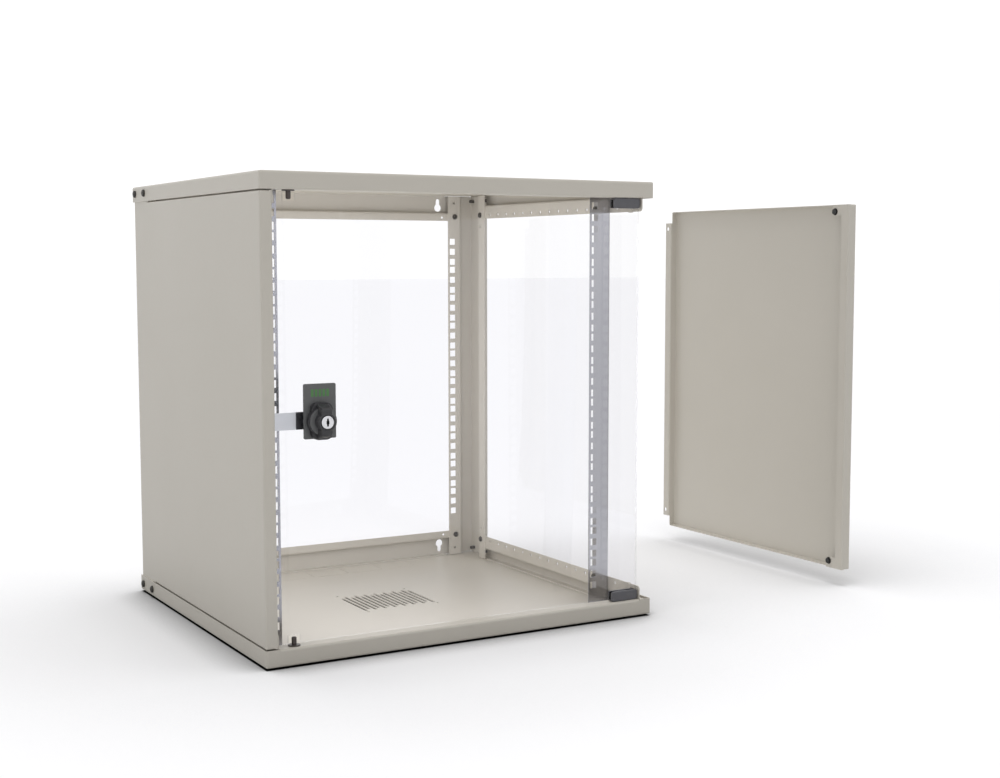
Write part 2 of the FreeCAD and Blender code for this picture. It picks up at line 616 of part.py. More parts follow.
def hinge_clamp():
    """Lower clamp: a block with a slot for the glass, and a blind bore and a recess for the pin."""
    left, right = CLAMP_X
    low, high = CLAMP_Z
    near, far = (at_depth(depth) for depth in CLAMP_DEPTHS)
    corners = [(left, low, CLAMP_ROUND), (right, low, CLAMP_ROUND)]
    corners += [(right, high, CLAMP_ROUND), (left, high, CLAMP_ROUND)]
    shape = extruded(corners, "XZ", near, far, chords=2)
    rims = [edge for edge in shape.Edges if abs(edge.BoundBox.YMax - near) < 1e-6]
    shape = shape.makeChamfer(CLAMP_EDGE, rims)
    block = (PIN_X - CLAMP_BLOCK_HALF, PIN_X + CLAMP_BLOCK_HALF)
    cuts = clamp_slots(((left - PAST, block[0]), (block[1], right + PAST)), liner=True)
    slot_depth = (GLASS_DEPTHS[0] - LINER, GLASS_DEPTHS[1] + LINER)
    cuts.append(box((block[0] - PAST, block[1] + PAST), slot_depth, (GLASS_NOTCH_TOP - LINER, high + PAST)))
    cuts.append(upright_rod(PIN_R + RUNNING_GAP, PIN_X, PIN_DEPTH, (low - PAST, CLAMP_BORE_TOP)))
    recess_z = (low - PAST, LIP + PIN_FLANGE_H + RUNNING_GAP)
    cuts.append(upright_rod(PIN_COLLAR_R + COLLAR_GAP, PIN_X, PIN_DEPTH, recess_z, TURNED_FLATS))
    back = (slot_depth[1] - PAST, CLAMP_DEPTHS[1] + PAST)
    cuts += [depth_rod(CLAMP_SCREW_R, x, back, CLAMP_SCREW_Z, SMALL_FLATS) for x in CLAMP_SCREW_X]
    return shape.cut(cuts)


def clamp_liners():
    """Soft channels between the glass and the clamps, one each side of each pin block."""
    block = (PIN_X - GLASS_NOTCH_HALF, PIN_X + GLASS_NOTCH_HALF)
    spans = ((CLAMP_X[0], block[0]), (block[1], CLAMP_X[1]))
    trim_z = (CLAMP_Z[1] - LINER, CLAMP_Z[1] + 2 * PAST)
    trim = box((CLAMP_X[0] - PAST, CLAMP_X[1] + PAST), CLAMP_DEPTHS, trim_z)
    liners = []
    for outer, inner in zip(clamp_slots(spans, liner=True), clamp_slots(spans, liner=False)):
        liner = outer.cut([inner, trim])
        liners += [liner, turned_over(liner)]
    return liners


def clamp_screws():
    """Screws in the rear of the clamps that press on the liners."""
    screws = []
    length = CLAMP_DEPTHS[1] - GLASS_DEPTHS[1] - LINER
    for x in CLAMP_SCREW_X:
        seat = FreeCAD.Vector(x, at_depth(CLAMP_DEPTHS[1]), CLAMP_SCREW_Z)
        screw = pan_head_screw(seat, (0, 1, 0), CLAMP_SCREW_HEAD_R, CLAMP_SCREW_HEAD_H, CLAMP_SCREW_R, length)
        screws += [screw, turned_over(screw)]
    return screws


def lock_plate():
    """Moulded plate on the front of the glass, with a round seat for the barrel."""
    corners = [(PLATE_X[0], PLATE_Z[0], PLATE_ROUND), (PLATE_X[1], PLATE_Z[0], PLATE_ROUND)]
    corners += [(PLATE_X[1], PLATE_Z[1], PLATE_ROUND), (PLATE_X[0], PLATE_Z[1], PLATE_ROUND)]
    shape = extruded(corners, "XZ", at_depth(PLATE_DEPTH), at_depth(GLASS_DEPTHS[0]), chords=2)
    seat_depth = (PLATE_DEPTH - PAST, GLASS_DEPTHS[0] + PAST)
    return shape.cut(depth_rod(BARREL_R, LOCK_X, seat_depth, LOCK_Z, TURNED_FLATS))


def lock_barrel():
    """Tube through the plate and the glass, which the knob's shaft turns in."""
    span = (PLATE_DEPTH, BARREL_END_DEPTH)
    bore = depth_rod(BARREL_BORE_R, LOCK_X, (span[0] - PAST, span[1] + PAST), LOCK_Z)
    return depth_rod(BARREL_R, LOCK_X, span, LOCK_Z, TURNED_FLATS).cut(bore)


def lock_nut():
    """Hexagon nut that draws the lock against the glass from behind."""
    corner_r = NUT_FLATS / math.sqrt(3)
    corners = []
    for index in range(6):
        angle = math.radians(60 * index)
        corners.append((LOCK_X + corner_r * math.cos(angle), LOCK_Z + corner_r * math.sin(angle), 0.0))
    span = (GLASS_DEPTHS[1], NUT_DEPTH)
    shape = extruded(corners, "XZ", at_depth(span[0]), at_depth(span[1]))
    return shape.cut(depth_rod(BARREL_R, LOCK_X, (span[0] - PAST, span[1] + PAST), LOCK_Z, TURNED_FLATS))


def turn_knob():
    """Knob with a skirt, a coned boss, an upright grip bar, and a shaft that carries the cam."""
    axis = FreeCAD.Vector(0, 1, 0)
    skirt = depth_rod(KNOB_SKIRT_R, LOCK_X, (KNOB_SKIRT_DEPTH, KNOB_BASE_DEPTH), LOCK_Z, TURNED_FLATS)
    sizes = ((KNOB_BOSS_R, KNOB_FACE_DEPTH), (KNOB_SKIRT_R, KNOB_SKIRT_DEPTH))
    middles = [FreeCAD.Vector(LOCK_X, at_depth(depth), LOCK_Z) for _, depth in sizes]
    rims = [ring(size[0], TURNED_FLATS, middle, axis) for size, middle in zip(sizes, middles)]
    boss = Part.makeLoft(rims, True, True)
    corners = []
    for side, end in ((-1, -1), (1, -1), (1, 1), (-1, 1)):
        x = LOCK_X + side * GRIP_HALF_WIDTH
        corners.append((x, LOCK_Z + end * GRIP_HALF_HEIGHT, GRIP_HALF_WIDTH - 0.5))
    grip = extruded(corners, "XZ", at_depth(GRIP_FACE_DEPTH), at_depth(KNOB_BASE_DEPTH))
    face = [edge for edge in grip.Edges if abs(edge.BoundBox.YMax - at_depth(GRIP_FACE_DEPTH)) < 1e-6]
    grip = grip.makeChamfer(GRIP_EDGE, face)
    shaft = depth_rod(SHAFT_R, LOCK_X, (KNOB_BASE_DEPTH, SHAFT_END_DEPTH), LOCK_Z, TURNED_FLATS)
    spigot = depth_rod(SPIGOT_R, LOCK_X, (SHAFT_END_DEPTH, SPIGOT_END_DEPTH), LOCK_Z, SMALL_FLATS)
    shape = skirt.fuse([boss, grip, shaft, spigot])
    seat = depth_rod(KEY_R + KEY_GAP, LOCK_X, (KNOB_FACE_DEPTH - PAST, KEY_SEAT_DEPTH), LOCK_Z)
    tapped_depth = (SPIGOT_END_DEPTH - CAM_SCREW_REACH, SPIGOT_END_DEPTH + PAST)
    tapped = depth_rod(CAM_SCREW_R, LOCK_X, tapped_depth, LOCK_Z, SMALL_FLATS)
    return shape.cut([seat, tapped]).removeSplitter()


def cam_carrier():
    """Moulded arm on the knob's shaft, slotted for the tongue."""
    low, high = LOCK_Z - CAM_HALF_HEIGHT, LOCK_Z + CAM_HALF_HEIGHT
    hub_x = LOCK_X + CAM_HALF_HEIGHT
    round_r = CAM_HALF_HEIGHT - 0.05
    corners = [(CARRIER_REACH_X, low, 0.8), (hub_x, low, round_r)]
    corners += [(hub_x, high, round_r), (CARRIER_REACH_X, high, 0.8)]
    shape = extruded(corners, "XZ", *(at_depth(depth) for depth in CARRIER_DEPTHS))
    spigot_depth = (CARRIER_DEPTHS[0] - PAST, CARRIER_DEPTHS[1] + PAST)
    spigot = depth_rod(SPIGOT_R, LOCK_X, spigot_depth, LOCK_Z, SMALL_FLATS)
    slot_z = (low + 2 * SHEET, high - 2 * SHEET)
    return shape.cut([spigot, box((CARRIER_REACH_X - PAST, TONGUE_X[1]), TONGUE_DEPTHS, slot_z)])


def cam_tongue():
    """Flat steel tongue that reaches behind the side panel's return; its root is narrowed for the slot."""
    low, high = LOCK_Z - CAM_HALF_HEIGHT, LOCK_Z + CAM_HALF_HEIGHT
    root = 2 * SHEET
    corners = [(TONGUE_X[0], low, 3.0), (CARRIER_REACH_X, low, 0.0), (CARRIER_REACH_X, low + root, 0.0)]
    corners += [(TONGUE_X[1], low + root, 0.0), (TONGUE_X[1], high - root, 0.0)]
    corners += [(CARRIER_REACH_X, high - root, 0.0), (CARRIER_REACH_X, high, 0.0), (TONGUE_X[0], high, 3.0)]
    return extruded(corners, "XZ", *(at_depth(depth) for depth in TONGUE_DEPTHS))


def cam_screw():
    """Screw that holds the carrier on the shaft."""
    seat = FreeCAD.Vector(LOCK_X, at_depth(CARRIER_DEPTHS[1]), LOCK_Z)
    length = CARRIER_DEPTHS[1] - SPIGOT_END_DEPTH + CAM_SCREW_REACH
    return pan_head_screw(seat, (0, 1, 0), CAM_SCREW_HEAD_R, CAM_SCREW_HEAD_H, CAM_SCREW_R, length)


def key_cylinder():
    """Turned cylinder in the knob's face, with an upright keyway."""
    span = (KEY_FACE_DEPTH, KEY_SEAT_DEPTH)
    shape = depth_rod(KEY_R, LOCK_X, span, LOCK_Z)
    width, height, sunk = KEYWAY
    keyway = box((LOCK_X - width / 2, LOCK_X + width / 2), (span[0] - PAST, span[0] + sunk),
                 (LOCK_Z - height / 2, LOCK_Z + height / 2))
    return shape.cut(keyway)


def moved_right(shape, distance):
    """A copy of a shape, moved along X."""
    copy = shape.copy()
    copy.translate(FreeCAD.Vector(distance, 0, 0))
    return copy


def pieces():
    """Every piece under its name; a list is a set of like pieces kept under one name."""
    base = base_tray()
    cover = turned_over(tray())
    post, beam, rail = rear_post(), side_beam(), front_rail()
    low_rear_beam, clamp = rear_beam(), hinge_clamp()
    panel, studs = side_panel(), panel_studs()
    return {
        "base_tray": base,
        "top_cover": cover,
        "rear_post_right": post,
        "rear_post_left": mirrored(post),
        "rear_beam_bottom": low_rear_beam,
        "rear_beam_top": turned_over(low_rear_beam),
        "side_beam_right_bottom": beam,
        "side_beam_right_top": turned_over(beam),
        "side_beam_left_bottom": mirrored(beam),
        "side_beam_left_top": turned_over(mirrored(beam)),
        "front_rail_right": rail,
        "front_rail_left": mirrored(rail),
        "corner_screws": corner_screws(),
        "side_beam_screws": inner_screws(POST_INNER_X, (BEAM_SCREW_DEPTH,)),
        "rear_beam_screws": rear_beam_screws(),
        "rail_screws": inner_screws(RAIL_OUTER_X - SHEET, RAIL_SCREW_DEPTHS),
        "hinge_pins_right": hinge_pins(PIN_COLLAR_R),
        "hinge_pins_left": [mirrored(pin) for pin in hinge_pins(PIN_FLANGE_R, 2 * SMALL_FLATS)],
        "side_panel_right": moved_right(panel, PANEL_AWAY),
        "panel_studs_right": [moved_right(stud, PANEL_AWAY) for stud in studs],
        "side_panel_left": mirrored(panel),
        "panel_studs_left": [mirrored(stud) for stud in studs],
        "glass_door": glass_door(),
        "hinge_clamp_bottom": clamp,
        "hinge_clamp_top": turned_over(clamp),
        "clamp_liners": clamp_liners(),
        "clamp_screws": clamp_screws(),
        "lock_plate": lock_plate(),
        "lock_barrel": lock_barrel(),
        "lock_nut": lock_nut(),
        "turn_knob": turn_knob(),
        "cam_carrier": cam_carrier(),
        "cam_tongue": cam_tongue(),
        "cam_screw": cam_screw(),
        "key_cylinder": key_cylinder(),
    }


def main():
    """Writes one STEP file for each named piece."""
    os.makedirs("parts", exist_ok=True)
    for name, made in pieces().items():
        shape = Part.makeCompound(made) if isinstance(made, list) else made
        assert shape.isValid() and all(solid.Volume > 0 for solid in shape.Solids), name
        shape.exportStep(f"parts/{name}.step")
        print(f"{name}: {len(shape.Solids)} solid(s), {shape.Volume / 1000:.1f} cm3")


main()
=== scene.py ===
"""Looks of a wall mount network cabinet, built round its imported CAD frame: finishes, small parts, studio."""

import json
import logging
import math
from dataclasses import dataclass
from enum import Enum
from typing import Callable, Iterable, Sequence

import bpy
from mathutils import Euler, Matrix, Vector


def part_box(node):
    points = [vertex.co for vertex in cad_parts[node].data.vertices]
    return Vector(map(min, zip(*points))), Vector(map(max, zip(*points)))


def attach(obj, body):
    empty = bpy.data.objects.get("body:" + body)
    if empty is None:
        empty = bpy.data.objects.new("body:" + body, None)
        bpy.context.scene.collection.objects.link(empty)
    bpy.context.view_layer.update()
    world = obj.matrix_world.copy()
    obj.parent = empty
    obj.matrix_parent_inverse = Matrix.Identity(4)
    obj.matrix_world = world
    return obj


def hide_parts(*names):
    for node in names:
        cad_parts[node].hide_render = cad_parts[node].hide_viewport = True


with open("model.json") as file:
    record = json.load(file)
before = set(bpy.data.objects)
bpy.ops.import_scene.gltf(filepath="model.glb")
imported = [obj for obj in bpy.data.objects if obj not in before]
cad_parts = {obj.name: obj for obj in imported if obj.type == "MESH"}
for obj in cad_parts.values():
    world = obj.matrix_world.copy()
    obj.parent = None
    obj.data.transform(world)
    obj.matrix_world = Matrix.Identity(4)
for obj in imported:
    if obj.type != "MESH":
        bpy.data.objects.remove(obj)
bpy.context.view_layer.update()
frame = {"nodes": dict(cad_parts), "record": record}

log = logging.getLogger("cabinet")

MM = 0.001
# Points closer than WELD are one point, and a face within NEAR of a depth is at that depth, in metres.
WELD = 0.01 * MM
NEAR = 0.1 * MM
WHITE = (1.0, 1.0, 1.0, 1.0)

Socket = bpy.types.NodeSocket
Colour = tuple[float, float, float, float]


# ---------------------------------------------------------------- small helpers


def linear(code: str, alpha: float = 1.0) -> Colour:
    """Turns an sRGB hex colour into linear light.

    Args:
        code: six hex digits after a hash, such as "#C5C7C4".
        alpha: the fourth channel.

    Returns:
        Linear red, green, blue and alpha.
    """
    values = [int(code[index:index + 2], 16) / 255 for index in (1, 3, 5)]
    red, green, blue = (v / 12.92 if v <= 0.04045 else ((v + 0.055) / 1.055) ** 2.4 for v in values)
    return red, green, blue, alpha


def add_node(tree: bpy.types.NodeTree, kind: str, settings: dict | None = None,
             inputs: dict | None = None) -> bpy.types.Node:
    """Adds a node with its settings, and its inputs as values or as links from other sockets.

    Args:
        tree: the node tree it goes in.
        kind: Blender's node type, such as "ShaderNodeTexNoise".
        settings: attributes of the node itself.
        inputs: input name or number to a value, or to the socket that feeds it.

    Returns:
        The new node.
    """
    node = tree.nodes.new(kind)
    for name, value in (settings or {}).items():
        setattr(node, name, value)
    for name, value in (inputs or {}).items():
        if isinstance(value, Socket):
            tree.links.new(value, node.inputs[name])
        else:
            node.inputs[name].default_value = value
    return node


def new_material(name: str) -> tuple[bpy.types.Material, bpy.types.NodeTree, bpy.types.Node]:
    """An empty node material.

    Args:
        name: the material's name.

    Returns:
        The material, its tree and its output node.
    """
    material = bpy.data.materials.new(name)
    material.use_nodes = True
    tree = material.node_tree
    tree.nodes.clear()
    return material, tree, add_node(tree, "ShaderNodeOutputMaterial")


def ramp_between(tree: bpy.types.NodeTree, source: Socket, low: float, high: float,
                 span: tuple[float, float] = (0.3, 0.7)) -> Socket:
    """Maps a value, such as a noise, onto a range.

    Args:
        tree: the node tree.
        source: the value's socket.
        low: result at the low end of the span.
        high: result at its high end.
        span: the part of the value that is stretched over the range.

    Returns:
        The mapped socket.
    """
    limits = {"Value": source, "From Min": span[0], "From Max": span[1], "To Min": low, "To Max": high}
    node = add_node(tree, "ShaderNodeMapRange", {}, limits)
    return node.outputs["Result"]


def compute(tree: bpy.types.NodeTree, operation: str, *values: Socket | float) -> Socket:
    """One step of arithmetic on sockets or numbers.

    Args:
        tree: the node tree.
        operation: Blender's name for it, such as "MAXIMUM".
        values: what it works on.

    Returns:
        The result's socket.
    """
    return add_node(tree, "ShaderNodeMath", {"operation": operation}, dict(enumerate(values))).outputs[0]


def blend(tree: bpy.types.NodeTree, share: Socket, first: Socket | Colour, second: Socket | Colour) -> Socket:
    """Mixes two colours.

    Args:
        tree: the node tree.
        share: how much of the second, from 0 to 1.
        first: a colour or its socket.
        second: another.

    Returns:
        The mixed colour's socket.
    """
    settings = {"data_type": "RGBA"}
    return add_node(tree, "ShaderNodeMix", settings, {"Factor": share, 6: first, 7: second}).outputs[2]


# ---------------------------------------------------------------- finishes


@dataclass(frozen=True)
class PowderCoat:
    """Polyester powder coat on folded steel, warm light grey, sprayed and baked.

    To the eye: satin, with a fine orange peel that only softens reflections, and almost no colour change.
    """

    name: str = "powder_coat_light_grey"
    colour: str = "#C9C4BB"
    shade: str = "#C5C0B6"
    roughness: float = 0.42
    peel_mm: float = 2.4
    peel_height_mm: float = 0.012
    cloud_mm: float = 140.0
    spread: float = 0.04

    def build(self) -> bpy.types.Material:
        """Makes the material.

        Returns:
            The finished material.
        """
        material, tree, output = new_material(self.name)
        place = add_node(tree, "ShaderNodeTexCoord").outputs["Object"]
        cloud = add_node(tree, "ShaderNodeTexNoise", {}, {"Vector": place, "Scale": 1 / (self.cloud_mm * MM),
                                                          "Detail": 2.0})
        colour = blend(tree, cloud.outputs["Fac"], linear(self.colour), linear(self.shade))
        # Real orange peel is near 1 mm across; it is drawn coarser so that it shows at all.
        peel = add_node(tree, "ShaderNodeTexNoise", {}, {"Vector": place, "Scale": 1 / (self.peel_mm * MM),
                                                         "Detail": 3.0, "Roughness": 0.6})
        bump = add_node(tree, "ShaderNodeBump", {}, {"Height": peel.outputs["Fac"], "Strength": 1.0,
                                                     "Distance": self.peel_height_mm * MM})
        rough = ramp_between(tree, peel.outputs["Fac"], self.roughness - self.spread,
                             self.roughness + self.spread)
        shader = add_node(tree, "ShaderNodeBsdfPrincipled", {},
                          {"Base Color": colour, "Roughness": rough, "IOR": 1.5,
                           "Normal": bump.outputs["Normal"]})
        tree.links.new(shader.outputs[0], output.inputs["Surface"])
        return material


@dataclass(frozen=True)
class ZincSheet:
    """Electro-galvanised steel strip, cold rolled: a bluish, fairly sharp mirror with faint rolling lines."""

    name: str = "galvanised_steel"
    colour: str = "#B7B7BD"
    shade: str = "#AFB0B7"
    roughness: float = 0.2
    line_mm: float = 1.2
    line_length_mm: float = 160.0
    spread: tuple[float, float] = (-0.03, 0.05)

    def build(self) -> bpy.types.Material:
        """Makes the material.

        Returns:
            The finished material.
        """
        material, tree, output = new_material(self.name)
        place = add_node(tree, "ShaderNodeTexCoord").outputs["Object"]
        scale = (1 / (self.line_mm * MM), 1 / (self.line_mm * MM), 1 / (self.line_length_mm * MM))
        drawn = add_node(tree, "ShaderNodeMapping", {}, {"Vector": place, "Scale": scale})
        lines = add_node(tree, "ShaderNodeTexNoise", {},
                         {"Vector": drawn.outputs[0], "Scale": 1.0, "Detail": 2.0})
        colour = blend(tree, lines.outputs["Fac"], linear(self.colour), linear(self.shade))
        rough = ramp_between(tree, lines.outputs["Fac"], self.roughness + self.spread[0],
                             self.roughness + self.spread[1])
        shader = add_node(tree, "ShaderNodeBsdfPrincipled", {},
                          {"Base Color": colour, "Metallic": 1.0, "Roughness": rough})
        tree.links.new(shader.outputs[0], output.inputs["Surface"])
        return material


@dataclass(frozen=True)
class ToughenedGlass:
    """Clear 4 mm float glass, tempered: all but unseen face on, and a mirror at a glancing look."""

    name: str = "toughened_glass"
    tint: str = "#FBFBFC"
    ior: float = 1.52
    smear_mm: float = 60.0
    smear_roughness: float = 0.012
    edge_clear: float = 0.85
    film_share: tuple[float, float] = (0.97, 0.3)
    film_span: tuple[float, float] = (0.04, 0.6)

    def build(self) -> bpy.types.Material:
        """Makes the material. Lamps shine through it, as they do through a real pane.

        Returns:
            The finished material.
        """
        material, tree, output = new_material(self.name)
        place = add_node(tree, "ShaderNodeTexCoord").outputs["Object"]
        smear = add_node(tree, "ShaderNodeTexNoise", {}, {"Vector": place, "Scale": 1 / (self.smear_mm * MM)})
        rough = ramp_between(tree, smear.outputs["Fac"], 0.0, self.smear_roughness)
        shader = add_node(tree, "ShaderNodeBsdfPrincipled", {},
                          {"Base Color": linear(self.tint), "Roughness": rough, "IOR": self.ior,
                           "Transmission Weight": 1.0})
        clear = add_node(tree, "ShaderNodeBsdfTransparent", {}, {"Color": linear(self.tint)})
        # The pane is drawn mostly as a clear film, whose share falls as the look grows glancing.
        glance = add_node(tree, "ShaderNodeFresnel", {}, {"IOR": self.ior})
        film = ramp_between(tree, glance.outputs[0], *self.film_share, self.film_span)
        path = add_node(tree, "ShaderNodeLightPath")
        lit = compute(tree, "MAXIMUM", path.outputs["Is Shadow Ray"], path.outputs["Is Diffuse Ray"])
        # Its polished edges are clear too. Their normals lie in the pane's plane, so they have little Y.
        facing = add_node(tree, "ShaderNodeTexCoord").outputs["Normal"]
        parts = add_node(tree, "ShaderNodeSeparateXYZ", {}, {0: facing})
        depth = compute(tree, "ABSOLUTE", parts.outputs["Y"])
        edge = compute(tree, "LESS_THAN", depth, 0.5)
        clear_edge = compute(tree, "MULTIPLY", edge, self.edge_clear)
        faces = compute(tree, "MAXIMUM", clear_edge, film)
        share = compute(tree, "MAXIMUM", lit, faces)
        mix = add_node(tree, "ShaderNodeMixShader", {},
                       {0: share, 1: shader.outputs[0], 2: clear.outputs[0]})
        tree.links.new(mix.outputs[0], output.inputs["Surface"])
        return material


@dataclass(frozen=True)
class Moulded:
    """An injection moulded or cast part with a fine spark-eroded grain, one colour right through."""

    name: str
    colour: str
    worn: str
    roughness: float
    grain_mm: float = 0.5
    grain_height_mm: float = 0.01
    touch_mm: float = 9.0
    spread: float = 0.06
    metallic: float = 0.0
    ior: float = 1.5

    def build(self) -> bpy.types.Material:
        """Makes the material.

        Returns:
            The finished material.
        """
        material, tree, output = new_material(self.name)
        place = add_node(tree, "ShaderNodeTexCoord").outputs["Object"]
        grain = add_node(tree, "ShaderNodeTexNoise", {}, {"Vector": place, "Scale": 1 / (self.grain_mm * MM),
                                                          "Detail": 3.0})
        # Handling polishes such parts in patches a few millimetres across.
        touch = add_node(tree, "ShaderNodeTexNoise", {},
                         {"Vector": place, "Scale": 1 / (self.touch_mm * MM), "Detail": 2.0})
        colour = blend(tree, touch.outputs["Fac"], linear(self.colour), linear(self.worn))
        rough = ramp_between(tree, touch.outputs["Fac"], self.roughness - self.spread,
                             self.roughness + self.spread)
        bump = add_node(tree, "ShaderNodeBump", {}, {"Height": grain.outputs["Fac"], "Strength": 1.0,
                                                     "Distance": self.grain_height_mm * MM})
        shader = add_node(tree, "ShaderNodeBsdfPrincipled", {},
                          {"Base Color": colour, "Roughness": rough, "Metallic": self.metallic,
                           "Normal": bump.outputs["Normal"]})
        if self.metallic == 0.0:
            shader.inputs["IOR"].default_value = self.ior
        tree.links.new(shader.outputs[0], output.inputs["Surface"])
        return material


@dataclass(frozen=True)
class TurnedMetal:
    """Nickel or zinc on a turned part: a bright metal with fine rings round the axis it was turned on."""

    name: str
    colour: str
    shade: str
    roughness: float
    centre: tuple[float, float, float]
    ring_mm: float = 0.35
    spread: tuple[float, float] = (-0.04, 0.06)

    def build(self) -> bpy.types.Material:
        """Makes the material.

        Returns:
            The finished material.
        """
        material, tree, output = new_material(self.name)
        place = add_node(tree, "ShaderNodeTexCoord").outputs["Object"]
        moved = add_node(tree, "ShaderNodeVectorMath", {"operation": "SUBTRACT"}, {0: place, 1: self.centre})
        flat = add_node(tree, "ShaderNodeVectorMath", {"operation": "MULTIPLY"},
                        {0: moved.outputs[0], 1: (1.0, 0.0, 1.0)})
        radius = add_node(tree, "ShaderNodeVectorMath", {"operation": "LENGTH"}, {0: flat.outputs[0]})
        rings = add_node(tree, "ShaderNodeTexNoise", {"noise_dimensions": "1D"},
                         {"W": radius.outputs["Value"], "Scale": 1 / (self.ring_mm * MM), "Detail": 1.0})
        colour = blend(tree, rings.outputs["Fac"], linear(self.colour), linear(self.shade))
        rough = ramp_between(tree, rings.outputs["Fac"], self.roughness + self.spread[0],
                             self.roughness + self.spread[1])
        shader = add_node(tree, "ShaderNodeBsdfPrincipled", {},
                          {"Base Color": colour, "Metallic": 1.0, "Roughness": rough})
        tree.links.new(shader.outputs[0], output.inputs["Surface"])
        return material


# ---------------------------------------------------------------- modelling by operators


class Axis(Enum):
    """The way a part stands, as the rotation that turns Blender's Z onto it."""

    PLUS_X = (0.0, math.pi / 2, 0.0)
    MINUS_X = (0.0, -math.pi / 2, 0.0)
    PLUS_Y = (-math.pi / 2, 0.0, 0.0)
    MINUS_Y = (math.pi / 2, 0.0, 0.0)
    PLUS_Z = (0.0, 0.0, 0.0)
    MINUS_Z = (math.pi, 0.0, 0.0)


def only(obj: bpy.types.Object) -> None:
    """Deselects everything, then selects one object and makes it active.

    Args:
        obj: the object.
    """
    bpy.ops.object.select_all(action="DESELECT")
    obj.select_set(True)
    bpy.context.view_layer.objects.active = obj


def edit(obj: bpy.types.Object, mode: str = "FACE") -> None:
    """Opens an object's mesh for editing with nothing selected.

    Args:
        obj: the object.
        mode: what is picked in it, "FACE" or "EDGE".
    """
    only(obj)
    bpy.ops.object.mode_set(mode="EDIT")
    bpy.ops.mesh.select_mode(type=mode)
    bpy.ops.mesh.select_all(action="DESELECT")


def pick_faces(obj: bpy.types.Object, test: Callable[[bpy.types.MeshPolygon], bool]) -> None:
    """Selects the faces that pass a test, and leaves the mesh in edit mode.

    Args:
        obj: the piece, in edit mode.
        test: says whether a face is wanted, from its place and normal.
    """
    bpy.ops.object.mode_set(mode="OBJECT")
    for face in obj.data.polygons:
        face.select = test(face)
    bpy.ops.object.mode_set(mode="EDIT")


def pick_edges(obj: bpy.types.Object, test: Callable[[Vector, Vector], bool]) -> None:
    """Selects the edges whose two end points pass a test, and leaves the mesh in edit mode.

    Args:
        obj: the piece, in edit mode.
        test: says whether an edge is wanted, from its two end points.
    """
    bpy.ops.object.mode_set(mode="OBJECT")
    points = obj.data.vertices
    for face in obj.data.polygons:
        face.select = False
    for edge in obj.data.edges:
        first, second = (points[index].co for index in edge.vertices)
        edge.select = test(first, second)
    for point in points:
        point.select = False
    bpy.ops.object.mode_set(mode="EDIT")


def grow(distance: Vector) -> None:
    """Extrudes the selected faces and moves them."""
    bpy.ops.mesh.extrude_region_move(TRANSFORM_OT_translate={"value": distance})


def finish_mesh(obj: bpy.types.Object, smooth_deg: float = 35.0) -> bpy.types.Object:
    """Closes editing, puts the place into the mesh and sets smooth shading.

    Args:
        obj: the piece.
        smooth_deg: edges sharper than this stay crisp.

    Returns:
        The same piece.
    """
    if bpy.context.object and bpy.context.object.mode == "EDIT":
        bpy.ops.object.mode_set(mode="OBJECT")
    only(obj)
    bpy.ops.object.transform_apply(location=True, rotation=True, scale=True)
    bpy.ops.object.shade_smooth_by_angle(angle=math.radians(smooth_deg))
    return obj


def dress(obj: bpy.types.Object, material: bpy.types.Material) -> bpy.types.Object:
    """Gives every face of an object one material.

    Args:
        obj: the object.
        material: its finish.

    Returns:
        The same object.
    """
    obj.data.materials.clear()
    obj.data.materials.append(material)
    return obj


def settle(piece: bpy.types.Object, body: str, slot: str, *nodes: str) -> bpy.types.Object:
    """Puts a finished piece on its body and hides the CAD nodes it stands for.

    Args:
        piece: the finished piece.
        body: the CAD body that it moves with.
        slot: the record's material slot; not used.
        nodes: CAD nodes that it replaces, if any.

    Returns:
        The same piece.
    """
    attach(piece, body)
    if nodes:
        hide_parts(*nodes)
    log.info("%s on %s, %d faces", piece.name, body, len(piece.data.polygons))
    return piece


def middle_of(node: str) -> Vector:
    """Middle of a CAD node's box."""
    low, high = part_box(node)
    return (low + high) / 2


def rotation_of(way: Axis) -> Matrix:
    """The matrix that turns Z onto an axis."""
    return Euler(way.value).to_matrix().to_4x4()


def joined(name: str, parts: Sequence[bpy.types.Object]) -> bpy.types.Object:
    """Joins parts into one piece whose object sits at the origin.

    Args:
        name: the piece's name.
        parts: the parts, which are used up.

    Returns:
        The joined piece.
    """
    bpy.ops.object.select_all(action="DESELECT")
    for part in parts:
        part.select_set(True)
    bpy.context.view_layer.objects.active = parts[0]
    if len(parts) > 1:
        bpy.ops.object.join()
    piece = bpy.context.object
    piece.name = name
    bpy.ops.object.transform_apply(location=True, rotation=True, scale=True)
    return piece


def block(name: str, low: Vector, high: Vector) -> bpy.types.Object:
    """A box between two corners, as the start of a piece.

    Args:
        name: the box's name.
        low: its low corner in metres.
        high: its high corner in metres.

    Returns:
        The box.
    """
    bpy.ops.object.select_all(action="DESELECT")
    bpy.ops.mesh.primitive_cube_add(size=1.0, location=(low + high) / 2)
    box = bpy.context.object
    box.name, box.scale = name, high - low
    bpy.ops.object.transform_apply(location=True, rotation=True, scale=True)
    return box


def rod(name: str, radius: float, foot: Vector, tip: Vector, sides: int = 64) -> bpy.types.Object:
    """A cylinder between two points, as the start of a piece.

    Args:
        name: the cylinder's name.
        radius: its radius in metres.
        foot: the middle of its first end.
        tip: the middle of its other end.
        sides: flats round it.

    Returns:
        The cylinder.
    """
    bpy.ops.object.select_all(action="DESELECT")
    turn = (tip - foot).to_track_quat("Z", "Y").to_euler()
    bpy.ops.mesh.primitive_cylinder_add(vertices=sides, radius=radius, depth=(tip - foot).length,
                                        location=(foot + tip) / 2, rotation=turn)
    bar = bpy.context.object
    bar.name = name
    bpy.ops.object.transform_apply(location=True, rotation=True, scale=True)
    return bar


